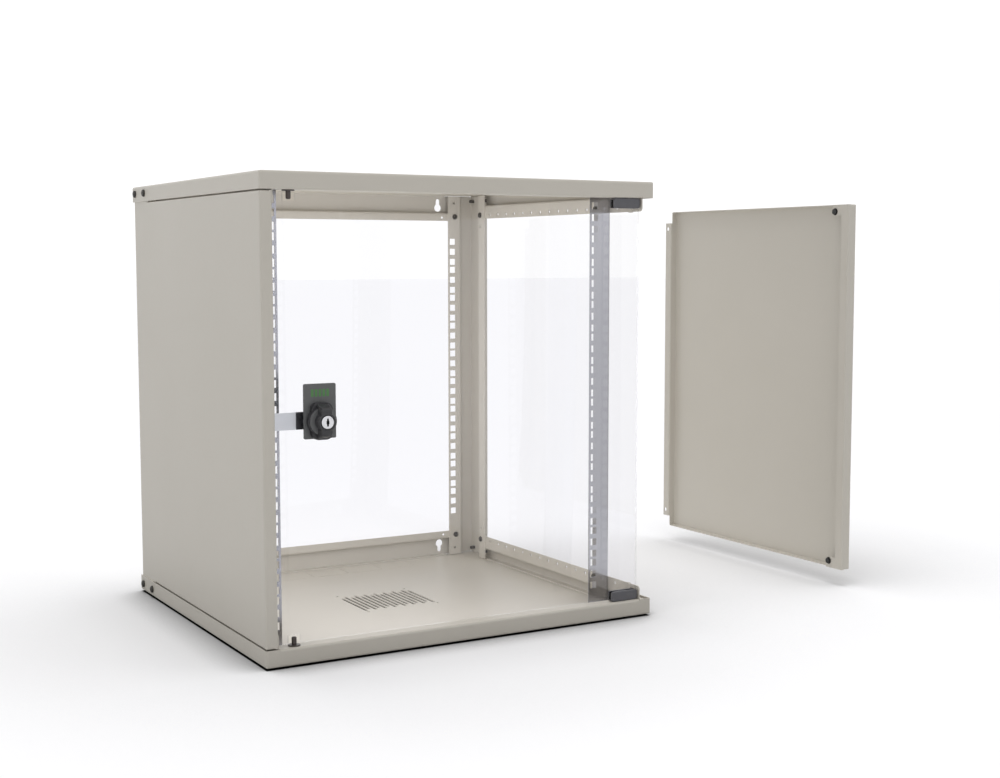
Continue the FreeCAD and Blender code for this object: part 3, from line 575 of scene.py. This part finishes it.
def combine(piece: bpy.types.Object, tool: bpy.types.Object, operation: str) -> None:
    """Adds a tool shape to a piece, or cuts it out, and uses the tool up.

    Args:
        piece: the piece that is kept.
        tool: the shape that is added or cut out.
        operation: "UNION" or "DIFFERENCE".
    """
    only(piece)
    step = piece.modifiers.new("combine", "BOOLEAN")
    step.object, step.operation, step.solver = tool, operation, "EXACT"
    bpy.ops.object.modifier_apply(modifier=step.name)
    bpy.data.objects.remove(tool)


def round_edges(piece: bpy.types.Object, test: Callable[[Vector, Vector], bool], radius: float,
                segments: int = 4) -> None:
    """Rounds the edges whose end points pass a test.

    Args:
        piece: the piece.
        test: says whether an edge is wanted, from its two end points.
        radius: width of the round in metres.
        segments: flats in the round.
    """
    edit(piece, "EDGE")
    pick_edges(piece, test)
    bpy.ops.mesh.bevel(offset=radius, segments=segments, affect="EDGES")
    bpy.ops.object.mode_set(mode="OBJECT")


# The ways that a turned part stands on X, Y and Z, and how its flange and its end are told from its points.
UPWARD = (Axis.PLUS_X, Axis.PLUS_Y, Axis.PLUS_Z)
DOWNWARD = (Axis.MINUS_X, Axis.MINUS_Y, Axis.MINUS_Z)
FLANGE_SHARE = 0.97
END_MM = 0.2


@dataclass
class Turned:
    """What a small turned part of the frame measures: its flange or head, and how far it reaches each way."""

    seat: Vector
    way: Axis
    flange: float
    stem: float
    height: float
    reach: float


def measured(points: Sequence[Vector], axis: int) -> Turned:
    """Measures one turned part.

    Args:
        points: every point of the part, in metres.
        axis: 0, 1 or 2 for a part that stands along X, Y or Z.

    Returns:
        Its sizes. The seat is the flange's face on the side of the longer reach.
    """
    corners = [Vector(pick(point[i] for point in points) for i in range(3)) for pick in (min, max)]
    middle = (corners[0] + corners[1]) / 2
    low, high = corners[0][axis], corners[1][axis]
    along = []
    for point in points:
        across = point - middle
        across[axis] = 0.0
        along.append((point[axis], across.length))
    widest = max(radius for _, radius in along)
    flange = [place for place, radius in along if radius > widest * FLANGE_SHARE]
    up = high - max(flange) < min(flange) - low
    seat, tip, foot = (min(flange), high, low) if up else (max(flange), low, high)
    stem = max(radius for place, radius in along if abs(place - foot) < END_MM * MM)
    place = middle.copy()
    place[axis] = seat
    return Turned(place, (UPWARD if up else DOWNWARD)[axis], widest, stem, abs(tip - seat), abs(seat - foot))


def turned_parts(node: str, axis: int) -> list[Turned]:
    """Measures every separate turned part of a CAD node, on a copy that is then removed.

    Args:
        node: the node's name.
        axis: 0, 1 or 2 for parts that stand along X, Y or Z.

    Returns:
        One row for each part, in order of place.
    """
    bpy.ops.object.select_all(action="DESELECT")
    copy = frame["nodes"][node].copy()
    copy.data = copy.data.copy()
    bpy.context.collection.objects.link(copy)
    only(copy)
    bpy.ops.object.mode_set(mode="EDIT")
    bpy.ops.mesh.select_all(action="SELECT")
    bpy.ops.mesh.remove_doubles(threshold=WELD)
    bpy.ops.mesh.separate(type="LOOSE")
    bpy.ops.object.mode_set(mode="OBJECT")
    rows = []
    for part in list(bpy.context.selected_objects):
        rows.append(measured([part.matrix_world @ point.co for point in part.data.vertices], axis))
        bpy.data.objects.remove(part)
    return sorted(rows, key=lambda row: tuple(round(value, 5) for value in row.seat))


def set_out(name: str, pattern: bpy.types.Object, rows: Iterable[Turned],
            turn_deg: float = 0.0) -> bpy.types.Object:
    """Copies a part modelled on Z to each place, and joins the copies.

    Args:
        name: the piece's name.
        pattern: the part, its seat at the origin. It is used up.
        rows: the places.
        turn_deg: how much further each copy is turned about itself than the one before.

    Returns:
        One piece that holds all the copies.
    """
    copies = []
    for index, row in enumerate(rows):
        copy = pattern.copy()
        copy.data = pattern.data.copy()
        bpy.context.collection.objects.link(copy)
        spin = Matrix.Rotation(math.radians(turn_deg * index), 4, "Z")
        copy.matrix_world = Matrix.Translation(row.seat) @ rotation_of(row.way) @ spin
        copies.append(copy)
    bpy.data.objects.remove(pattern)
    return joined(name, copies)


# ---------------------------------------------------------------- fasteners


@dataclass
class PanHeadScrews:
    """A set of pan head screws with cross recesses, modelled once and copied to each place."""

    node: str
    axis: int
    body: str
    slot: str = "black_screws"
    recess_share: float = 0.5
    recess_width: float = 0.24
    recess_depth: float = 0.55
    wall_share: float = 0.45
    dome: tuple[tuple[float, float], ...] = ((0.05, 0.24), (0.12, 0.19), (0.22, 0.1))
    turn_deg: float = 23.0
    sides: int = 40

    def model(self, row: Turned) -> bpy.types.Object:
        """Models one screw standing on Z, its seat at the origin.

        Args:
            row: the sizes of the screw.

        Returns:
            The screw.
        """
        radius, height = row.flange, row.height
        screw = rod("pattern", radius, Vector(), Vector((0, 0, height * self.wall_share)), self.sides)
        edit(screw)
        pick_faces(screw, lambda face: face.normal.z > 0.9)
        for share, rise in self.dome:
            bpy.ops.mesh.inset(thickness=radius * share, depth=height * rise)
        pick_faces(screw, lambda face: face.normal.z < -0.9)
        bpy.ops.mesh.inset(thickness=radius - row.stem)
        grow(Vector((0, 0, -row.reach)))
        bpy.ops.object.mode_set(mode="OBJECT")
        top = Vector((0, 0, height))
        long, short = radius * self.recess_share, radius * self.recess_share * self.recess_width
        for size in ((long, short), (short, long)):
            reach = Vector((*size, height * self.recess_depth))
            combine(screw, block("recess", top - reach, top + reach), "DIFFERENCE")
        return finish_mesh(screw)

    def build(self, finishes: "Finishes") -> None:
        """Builds the set on its body.

        Args:
            finishes: the built finishes.
        """
        rows = turned_parts(self.node, self.axis)
        piece = set_out(f"{self.node}_dressed", self.model(rows[0]), rows, self.turn_deg)
        settle(dress(piece, finishes.screw), self.body, self.slot, self.node)


@dataclass
class PanelStuds:
    """Moulded studs that hold a side panel: a round head with a shallow dish and a raised middle."""

    node: str
    body: str
    slot: str = "black_studs"
    rim_share: float = 0.2
    button_share: float = 0.34
    wall_share: float = 0.7
    bevel_share: float = 0.07
    slope_share: float = 0.06
    button_edge_share: float = 0.05
    round_share: float = 0.3
    dish_share: float = 0.4
    sides: int = 40

    def model(self, row: Turned) -> bpy.types.Object:
        """Models one stud standing on Z, its seat at the origin.

        Args:
            row: the sizes of the stud.

        Returns:
            The stud.
        """
        radius, height = row.flange, row.height
        stud = rod("pattern", radius, Vector(), Vector((0, 0, height * self.wall_share)), self.sides)
        edit(stud)
        pick_faces(stud, lambda face: face.normal.z > 0.9)
        bpy.ops.mesh.inset(thickness=radius * self.bevel_share, depth=height * self.round_share)
        bpy.ops.mesh.inset(thickness=radius * self.rim_share)
        bpy.ops.mesh.inset(thickness=radius * self.slope_share, depth=-height * self.dish_share)
        # The dish's floor is what is left inside its slope, less the button.
        inside = 1.0 - self.bevel_share - self.rim_share - self.slope_share
        bpy.ops.mesh.inset(thickness=radius * (inside - self.button_share))
        bpy.ops.mesh.inset(thickness=radius * self.button_edge_share, depth=height * self.round_share)
        pick_faces(stud, lambda face: face.normal.z < -0.9)
        bpy.ops.mesh.inset(thickness=radius - row.stem)
        grow(Vector((0, 0, -row.reach)))
        return finish_mesh(stud)

    def build(self, finishes: "Finishes") -> None:
        """Builds the studs on their panel.

        Args:
            finishes: the built finishes.
        """
        rows = turned_parts(self.node, 0)
        piece = set_out(f"{self.node}_dressed", self.model(rows[0]), rows)
        settle(dress(piece, finishes.nylon), self.body, self.slot, self.node)


@dataclass
class HingePins:
    """A set of turned hinge pins: a thin flange and a stem with a rounded end."""

    node: str
    body: str = "cabinet"
    slot: str = "dark_pins"
    rim_share: float = 0.3
    rim_mm: float = 0.4
    rim_segments: int = 3
    tip_share: float = 0.6
    tip_segments: int = 6
    sides: int = 48
    stem_sides: int = 32

    def model(self, row: Turned) -> bpy.types.Object:
        """Models one pin whose stem hangs below its flange.

        Args:
            row: the sizes of the pin.

        Returns:
            The pin.
        """
        pin = rod("pattern", row.flange, Vector(), Vector((0, 0, row.height)), self.sides)
        rim = min(row.height * self.rim_share, self.rim_mm * MM)
        round_edges(pin, lambda a, b: abs(a.z - b.z) < WELD, rim, self.rim_segments)
        stem = rod("stem", row.stem, Vector((0, 0, row.height / 2)), Vector((0, 0, -row.reach)),
                   self.stem_sides)
        round_edges(stem, lambda a, b: max(a.z, b.z) < WELD - row.reach, row.stem * self.tip_share,
                    self.tip_segments)
        combine(pin, stem, "UNION")
        return finish_mesh(pin)

    def build(self, finishes: "Finishes") -> None:
        """Builds the pins on the cabinet.

        Args:
            finishes: the built finishes.
        """
        rows = turned_parts(self.node, 2)
        piece = set_out(f"{self.node}_dressed", self.model(rows[0]), rows)
        settle(dress(piece, finishes.pin), self.body, self.slot, self.node)


# ---------------------------------------------------------------- the lock


@dataclass
class DoorLock:
    """Quarter-turn lock: stepped knob with an upright grip, keyed cylinder, and plain bars on the plate."""

    skirt_mm: float = 17.3
    skirt_sides: int = 96
    plate_gap_mm: float = 0.3
    boss_mm: float = 11.0
    boss_sunk_mm: float = 2.0
    seat_mm: float = 8.65
    seat_over_mm: float = 5.0
    grip_half_mm: float = 7.5
    grip_back_mm: float = 22.0
    grip_front_mm: float = 15.8
    grip_narrowing: float = 0.9
    grip_behind_mm: float = 0.6
    grip_sunk_mm: float = 6.0
    lobe_half_mm: float = 13.0
    skirt_depth_mm: float = 10.0
    lobe_depth_mm: float = 7.2
    lobe_round_mm: float = 8.0
    lobe_segments: int = 8
    skirt_round_mm: float = 0.9
    boss_round_mm: float = 0.8
    grip_round_mm: float = 1.6
    shaft_mm: float = 6.0
    spigot_mm: float = 4.0
    spigot_length_mm: float = 3.6
    shaft_sunk_mm: float = 3.0
    shaft_sides: int = 48
    key_gap_mm: float = 0.8
    key_bevel_mm: float = 0.5
    key_ring_mm: float = 1.0
    key_step_mm: tuple[float, float] = (0.3, 0.4)
    keyway_mm: tuple[float, float] = (2.2, 9.4)
    keyway_wide_mm: tuple[float, float] = (3.6, 4.0)
    keyway_reach_mm: tuple[float, float] = (2.0, 6.0)
    keyway_painted_shade_share: float = 0.52
    bars: int = 5
    bar_mm: tuple[float, float] = (3.4, 8.8)
    bar_pitch_mm: float = 4.9
    bar_proud_mm: float = 0.08
    bar_sunk_mm: float = 0.1
    bar_round_mm: float = 0.5
    bars_right_mm: float = 10.4
    bars_down_mm: float = 10.9

    def __post_init__(self) -> None:
        """Reads the lock's axis and depths from the frame."""
        self.middle = middle_of("key_cylinder")
        low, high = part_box("turn_knob")
        self.front, self.back = low.y, high.y
        self.plate_low, self.plate_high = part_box("lock_plate")
        self.face = self.plate_low.y - self.plate_gap_mm * MM

    def at(self, across: float, y: float, up: float) -> Vector:
        """A point at a place across and up from the lock's axis in millimetres, at a depth in metres."""
        return Vector((self.middle.x + across * MM, y, self.middle.z + up * MM))

    def axle(self, name: str, radius_mm: float, start: float, end: float,
             sides: int = 64) -> bpy.types.Object:
        """A cylinder on the lock's axis, from one depth to another.

        Args:
            name: its name.
            radius_mm: its radius.
            start: depth of its first end in metres.
            end: depth of its other end in metres.
            sides: flats round it.

        Returns:
            The cylinder.
        """
        return rod(name, radius_mm * MM, self.at(0, start, 0), self.at(0, end, 0), sides)

    def knob(self, finishes: "Finishes") -> None:
        """Builds the knob, from the spigot behind the glass to the front of its boss.

        Args:
            finishes: the built finishes.
        """
        skirt_face = self.face - self.skirt_depth_mm * MM
        piece = self.axle("turn_knob_dressed", self.skirt_mm, self.face, skirt_face, self.skirt_sides)
        round_edges(piece, lambda a, b: max(a.y, b.y) < skirt_face + NEAR, self.skirt_round_mm * MM)
        lobe_face = self.face - self.lobe_depth_mm * MM
        lobe = block("lobe", self.at(-self.lobe_half_mm, lobe_face, -self.grip_back_mm),
                     self.at(self.lobe_half_mm, self.face, self.grip_back_mm))
        round_edges(lobe, lambda a, b: abs(a.y - b.y) > MM, self.lobe_round_mm * MM, self.lobe_segments)
        combine(piece, lobe, "UNION")
        boss = self.axle("boss", self.boss_mm, skirt_face + self.boss_sunk_mm * MM, self.front)
        round_edges(boss, lambda a, b: max(a.y, b.y) < self.front + NEAR, self.boss_round_mm * MM)
        combine(piece, self.grip(skirt_face), "UNION")
        combine(piece, boss, "UNION")
        for name, radius, end in (("shaft", self.shaft_mm, self.back - self.spigot_length_mm * MM),
                                  ("spigot", self.spigot_mm, self.back)):
            start = self.face - self.shaft_sunk_mm * MM
            combine(piece, self.axle(name, radius, start, end, self.shaft_sides), "UNION")
        seat_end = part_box("key_cylinder")[1].y
        seat = self.axle("seat", self.seat_mm, self.front - self.seat_over_mm * MM, seat_end)
        combine(piece, seat, "DIFFERENCE")
        # Painted light: the skirt's front face takes the lighter grey plate finish, standing in for the light
        # it catches; the knob itself is black.
        dress(finish_mesh(piece), finishes.black).data.materials.append(finishes.plate)
        for face in piece.data.polygons:
            if face.normal.y < -0.95 and abs(face.center.y - skirt_face) < NEAR:
                face.material_index = 1
        settle(piece, "latch", "black_plastic", "turn_knob")

    def grip(self, skirt_face: float) -> bpy.types.Object:
        """The upright grip, whose two ends slope towards its front.

        Args:
            skirt_face: depth of the skirt's face.

        Returns:
            The grip's solid.
        """
        low = self.at(-self.grip_half_mm, self.front + self.grip_behind_mm * MM, -self.grip_back_mm)
        high = self.at(self.grip_half_mm, skirt_face + self.grip_sunk_mm * MM, self.grip_back_mm)
        grip = block("grip", low, high)
        edit(grip)
        pick_faces(grip, lambda face: face.normal.y < -0.9)
        scale = (self.grip_narrowing, 1, self.grip_front_mm / self.grip_back_mm)
        bpy.ops.transform.resize(value=scale, center_override=self.at(0, self.front, 0))
        bpy.ops.object.mode_set(mode="OBJECT")
        round_edges(grip, lambda a, b: min(a.y, b.y) < self.front + MM, self.grip_round_mm * MM)
        return grip

    def cylinder(self, finishes: "Finishes") -> None:
        """Builds the keyed cylinder, with its face ring and a keyway painted black as shade.

        Args:
            finishes: the built finishes.
        """
        low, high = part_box("key_cylinder")
        radius_mm = (high.x - low.x) / 2 / MM - self.key_gap_mm
        piece = self.axle("key_cylinder_dressed", radius_mm, high.y, low.y + self.key_bevel_mm * MM)
        edit(piece)
        pick_faces(piece, lambda face: face.normal.y < -0.9)
        bpy.ops.mesh.inset(thickness=self.key_bevel_mm * MM, depth=self.key_bevel_mm * MM)
        bpy.ops.mesh.inset(thickness=self.key_ring_mm * MM)
        bpy.ops.mesh.inset(thickness=self.key_step_mm[0] * MM, depth=-self.key_step_mm[1] * MM)
        bpy.ops.object.mode_set(mode="OBJECT")
        dress(piece, finishes.nickel).data.materials.append(finishes.nylon)
        start, end = low.y - self.keyway_reach_mm[0] * MM, low.y + self.keyway_reach_mm[1] * MM
        for wide, tall in (self.keyway_mm, self.keyway_wide_mm):
            slot = block("keyway", self.at(-wide / 2, start, -tall / 2), self.at(wide / 2, end, tall / 2))
            combine(piece, slot, "DIFFERENCE")
        # Painted shade: the keyway's walls and floor get the black finish, standing in for the shade inside
        # the slot.
        dark, floor = self.keyway_mm[1] * self.keyway_painted_shade_share * MM, low.y + MM
        for face in piece.data.polygons:
            away = Vector((face.center.x - self.middle.x, face.center.z - self.middle.z)).length
            if away < dark and (face.center.y > floor or abs(face.normal.y) < 0.5):
                face.material_index = 1
        settle(finish_mesh(piece), "key", "nickel_plated", "key_cylinder")

    def plate_bars(self, finishes: "Finishes") -> None:
        """Builds the row of plain printed bars at the plate's top right.

        Args:
            finishes: the built finishes.
        """
        copies = []
        face = self.plate_low.y
        for index in range(self.bars):
            right = self.plate_high.x - (self.bars_right_mm + index * self.bar_pitch_mm) * MM
            up = self.plate_high.z - self.bars_down_mm * MM
            wide, tall = self.bar_mm[0] * MM, self.bar_mm[1] * MM
            bar = block("bar", Vector((right - wide / 2, face - self.bar_proud_mm * MM, up - tall / 2)),
                        Vector((right + wide / 2, face + self.bar_sunk_mm * MM, up + tall / 2)))
            round_edges(bar, lambda a, b: abs(a.y - b.y) > self.bar_proud_mm * MM, self.bar_round_mm * MM, 3)
            copies.append(bar)
        piece = joined("lock_plate_bars", copies)
        settle(dress(finish_mesh(piece), finishes.green), "door", "black_plastic")

    def build(self, finishes: "Finishes") -> None:
        """Builds the lock's visible parts.

        Args:
            finishes: the built finishes.
        """
        self.knob(finishes)
        self.cylinder(finishes)
        self.plate_bars(finishes)


# ---------------------------------------------------------------- studio


@dataclass
class Studio:
    """Pale floor, soft lamps and the camera."""

    lens_mm: float = 53.93
    shift: tuple[float, float] = (-0.01594, 0.00493)
    place: tuple[float, float, float] = (-0.8936, -1.8784, 0.4791)
    tilt_deg: float = 84.842
    turn_deg: float = -30.449
    ambient: float = 0.5
    backdrop: float = 1.1
    floor_m: float = 60.0
    floor_drop_mm: float = 2.4
    floor_colour: str = "#E4E4E6"
    floor_bounce: str = "#F3F3F3"
    painted_shadow_under_base: str = "#1C1C1C"
    painted_streak_shadow: str = "#858585"
    streak_m: float = 0.08
    painted_shade_near_base: str = "#BABABA"
    shaded_m: float = 0.16
    floor_lift: float = 0.28
    contact_m: float = 0.5
    contact_power: float = 3.0
    streak_span: tuple[float, float] = (0.35, 0.85)
    under_inset_mm: float = 0.5
    sun_strength: float = 1.45
    sun_from: tuple[float, float, float] = (-0.1, -0.05, 1.0)
    sun_softness_deg: float = 40.0
    front_fill_watts: float = 0.92
    side_fill_watts: float = 1.0
    fill_m: float = 0.46
    fill_inset_mm: float = 30.0

    def camera(self) -> None:
        """Adds the camera and makes it the scene's."""
        bpy.ops.object.select_all(action="DESELECT")
        bpy.ops.object.camera_add(location=self.place,
                                  rotation=(math.radians(self.tilt_deg), 0, math.radians(self.turn_deg)))
        camera = bpy.context.object
        camera.data.sensor_width = 36.0
        camera.data.lens = self.lens_mm
        camera.data.shift_x, camera.data.shift_y = self.shift
        bpy.context.scene.camera = camera

    def outside_base(self, tree: bpy.types.NodeTree) -> Socket:
        """How far a point of the paper lies outside the base, in metres, and below nought under it.

        Args:
            tree: the node tree.

        Returns:
            The distance's socket.
        """
        place = add_node(tree, "ShaderNodeTexCoord").outputs["Object"]
        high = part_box("base_tray")[1]
        inset = self.under_inset_mm * MM
        away = add_node(tree, "ShaderNodeVectorMath", {"operation": "ABSOLUTE"}, {0: place})
        past = add_node(tree, "ShaderNodeVectorMath", {"operation": "SUBTRACT"},
                        {0: away.outputs[0], 1: (high.x - inset, high.y - inset, 0.0)})
        sides = add_node(tree, "ShaderNodeSeparateXYZ", {}, {0: past.outputs[0]})
        return compute(tree, "MAXIMUM", sides.outputs["X"], sides.outputs["Y"])

    def shown_paper(self, tree: bpy.types.NodeTree, outside: Socket) -> Socket:
        """The paper as the camera sees it: near white, with real and painted shade near the cabinet, painted
        dark under the base.

        Args:
            tree: the node tree.
            outside: how far a point lies outside the base.

        Returns:
            The shader's socket.
        """
        lift = compute(tree, "GREATER_THAN", outside, 0.0)
        # Painted shadow: paper just under a low edge, such as a side panel's, is coloured into a dark streak
        # by an occlusion test.
        close = add_node(tree, "ShaderNodeAmbientOcclusion", {"samples": 8}, {"Distance": self.streak_m})
        streak = ramp_between(tree, close.outputs["AO"], 0.0, 1.0, self.streak_span)
        open_paper = blend(tree, streak, linear(self.painted_streak_shadow), linear(self.floor_colour))
        # Painted shadow: right under the base the paper is coloured near black, where only shade falls.
        under = blend(tree, lift, linear(self.painted_shadow_under_base), open_paper)
        paper = add_node(tree, "ShaderNodeBsdfDiffuse", {}, {"Color": under})
        # Painted shade: the glow that lifts the paper to white fades out near the cabinet, where the paper is
        # shaded on every side.
        open_sky = add_node(tree, "ShaderNodeAmbientOcclusion", {"samples": 8}, {"Distance": self.contact_m})
        fade = compute(tree, "POWER", open_sky.outputs["AO"], self.contact_power)
        whole = compute(tree, "MULTIPLY", fade, self.floor_lift)
        lifted = compute(tree, "MULTIPLY", lift, whole)
        glow = add_node(tree, "ShaderNodeEmission", {},
                        {"Color": WHITE, "Strength": lifted})
        return add_node(tree, "ShaderNodeAddShader", {}, {0: paper.outputs[0], 1: glow.outputs[0]}).outputs[0]

    def floor(self) -> None:
        """Adds the white paper floor. The camera sees its shading, part lit and part painted; the cabinet gets
        a separate bounce.
        """
        bpy.ops.object.select_all(action="DESELECT")
        bpy.ops.mesh.primitive_plane_add(size=self.floor_m, location=(0, 0, -self.floor_drop_mm * MM))
        floor = bpy.context.object
        floor.name = "studio_floor"
        bpy.ops.object.transform_apply(location=True, rotation=True, scale=True)
        material, tree, output = new_material("white_paper_floor")
        outside = self.outside_base(tree)
        shown = self.shown_paper(tree, outside)
        # Painted shade: the paper's bounce colour is darkened right beside the base, where the paper itself is
        # shaded, so less light goes back up.
        near = ramp_between(tree, outside, 0.0, 1.0, (0.0, self.shaded_m))
        sent = blend(tree, near, linear(self.painted_shade_near_base), linear(self.floor_bounce))
        bounce = add_node(tree, "ShaderNodeBsdfDiffuse", {}, {"Color": sent})
        path = add_node(tree, "ShaderNodeLightPath")
        seen = compute(tree, "MAXIMUM", path.outputs["Is Camera Ray"], path.outputs["Is Transmission Ray"])
        mix = add_node(tree, "ShaderNodeMixShader", {}, {0: seen, 1: bounce.outputs[0], 2: shown})
        tree.links.new(mix.outputs[0], output.inputs["Surface"])
        dress(floor, material)

    def world(self) -> None:
        """White backdrop to the camera, in mirrors and through glass, and plain ambient light elsewhere."""
        world = bpy.data.worlds.new("studio_world")
        bpy.context.scene.world = world
        world.use_nodes = True
        tree = world.node_tree
        tree.nodes.clear()
        path = add_node(tree, "ShaderNodeLightPath")
        first = compute(tree, "MAXIMUM", path.outputs["Is Camera Ray"], path.outputs["Is Glossy Ray"])
        seen = compute(tree, "MAXIMUM", first, path.outputs["Is Transmission Ray"])
        ambient = add_node(tree, "ShaderNodeBackground", {}, {"Color": WHITE, "Strength": self.ambient})
        white = add_node(tree, "ShaderNodeBackground", {}, {"Color": WHITE, "Strength": self.backdrop})
        mix = add_node(tree, "ShaderNodeMixShader", {},
                       {0: seen, 1: ambient.outputs[0], 2: white.outputs[0]})
        add_node(tree, "ShaderNodeOutputWorld", {}, {"Surface": mix.outputs[0]})

    def lamp(self, kind: str, name: str, place: Vector, aim: Vector, power: float) -> bpy.types.Light:
        """Adds a lamp that is itself unseen.

        Args:
            kind: Blender's lamp type.
            name: the lamp's name.
            place: where it hangs.
            aim: the way it shines.
            power: its strength, in the unit of its type.

        Returns:
            The lamp's data.
        """
        bpy.ops.object.select_all(action="DESELECT")
        bpy.ops.object.light_add(type=kind, location=place, rotation=aim.to_track_quat("-Z", "Y").to_euler())
        light = bpy.context.object
        light.name = name
        light.visible_camera = False
        light.visible_glossy = False
        light.data.energy = power
        return light.data

    def lamps(self) -> None:
        """Adds a soft key lamp from above, and two soft boxes that fill the cabinet from front and left."""
        high = Vector(self.sun_from)
        key = self.lamp("SUN", "key_lamp", high, -high, self.sun_strength)
        key.angle = math.radians(self.sun_softness_deg)
        low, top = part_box("base_tray")[0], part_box("top_cover")[1]
        inset, middle = self.fill_inset_mm * MM, (low.z + top.z) / 2
        front, left = Vector((0, low.y + inset, middle)), Vector((low.x + inset, 0, middle))
        for name, place, aim, watts in (("front_fill", front, Vector((0, 1, 0)), self.front_fill_watts),
                                        ("side_fill", left, Vector((1, 0, 0)), self.side_fill_watts)):
            self.lamp("AREA", name, place, aim, watts).size = self.fill_m

    def build(self) -> None:
        """Builds the floor, the world, the lamps and the camera."""
        bpy.context.scene.view_settings.view_transform = "Standard"
        self.world()
        self.floor()
        self.lamps()
        self.camera()
        log.info("studio ready")


# ---------------------------------------------------------------- the cabinet


@dataclass
class Finishes:
    """Every finish of the cabinet, built once."""

    def __post_init__(self) -> None:
        """Builds the materials."""
        self.paint = PowderCoat().build()
        self.zinc = ZincSheet().build()
        self.glass = ToughenedGlass().build()
        self.black = Moulded("black_polyamide", "#2E2E31", "#353538", 0.4).build()
        self.nylon = Moulded("black_nylon_stud", "#1C1C1D", "#232324", 0.45).build()
        self.cast = Moulded("dark_grey_die_casting", "#55555A", "#5B5B60", 0.38, grain_mm=0.7).build()
        self.screw = Moulded("black_zinc_screw", "#3A3836", "#454341", 0.35, metallic=0.6).build()
        self.pin = Moulded("black_zinc_pin", "#4A4442", "#544E4B", 0.35, metallic=0.6).build()
        self.plate = Moulded("dark_grey_plate", "#5B5C5D", "#616263", 0.4).build()
        self.green = Moulded("green_pad_print", "#4A7A45", "#4F804A", 0.5).build()
        self.plated = ZincSheet("zinc_plated_tongue", "#DCDEE1", "#D9DBDE", 0.3).build()
        self.rubber = Moulded("liner_rubber", "#242424", "#2A2A2A", 0.8, grain_mm=1.0).build()
        lock = middle_of("key_cylinder")
        self.nickel = TurnedMetal("satin_nickel", "#E9E9ED", "#D9D9DD", 0.24, tuple(lock)).build()


SLOT_FINISH = {
    "painted_steel": "paint", "zinc_plated_steel": "zinc", "nickel_plated": "nickel", "black_screws": "screw",
    "dark_pins": "pin", "black_studs": "nylon", "toughened_glass": "glass", "dark_clamps": "cast",
    "liner_rubber": "rubber", "black_plastic": "black",
}

# Each set of screws with the axis that it stands on, as 0, 1 or 2, and its body.
SCREW_SETS = (("corner_screws", 0, "cabinet"), ("side_beam_screws", 0, "cabinet"),
              ("rail_screws", 0, "cabinet"), ("rear_beam_screws", 1, "cabinet"), ("clamp_screws", 1, "door"))

# Nodes whose finish isn't that of their slot.
NODE_FINISH = {"lock_plate": "plate", "cam_tongue": "plated"}


def dress_frame(finishes: Finishes) -> None:
    """Gives every CAD node the finish of its material slot.

    Args:
        finishes: the built finishes.
    """
    for row in frame["record"]["subparts"]:
        name = NODE_FINISH.get(row["node"], SLOT_FINISH[row["material_slot"]])
        dress(frame["nodes"][row["node"]], getattr(finishes, name))
    log.info("dressed %d nodes", len(frame["nodes"]))


def main() -> None:
    """Builds the finishes, the pieces and the studio in order."""
    logging.basicConfig(level=logging.INFO, format="%(name)s: %(message)s")
    finishes = Finishes()
    dress_frame(finishes)
    for node, axis, body in SCREW_SETS:
        PanHeadScrews(node, axis, body).build(finishes)
    for side in ("left", "right"):
        PanelStuds(f"panel_studs_{side}", f"side_panel_{side}").build(finishes)
        HingePins(f"hinge_pins_{side}").build(finishes)
    DoorLock().build(finishes)
    Studio().build()


if __name__ == "__main__":
    main()
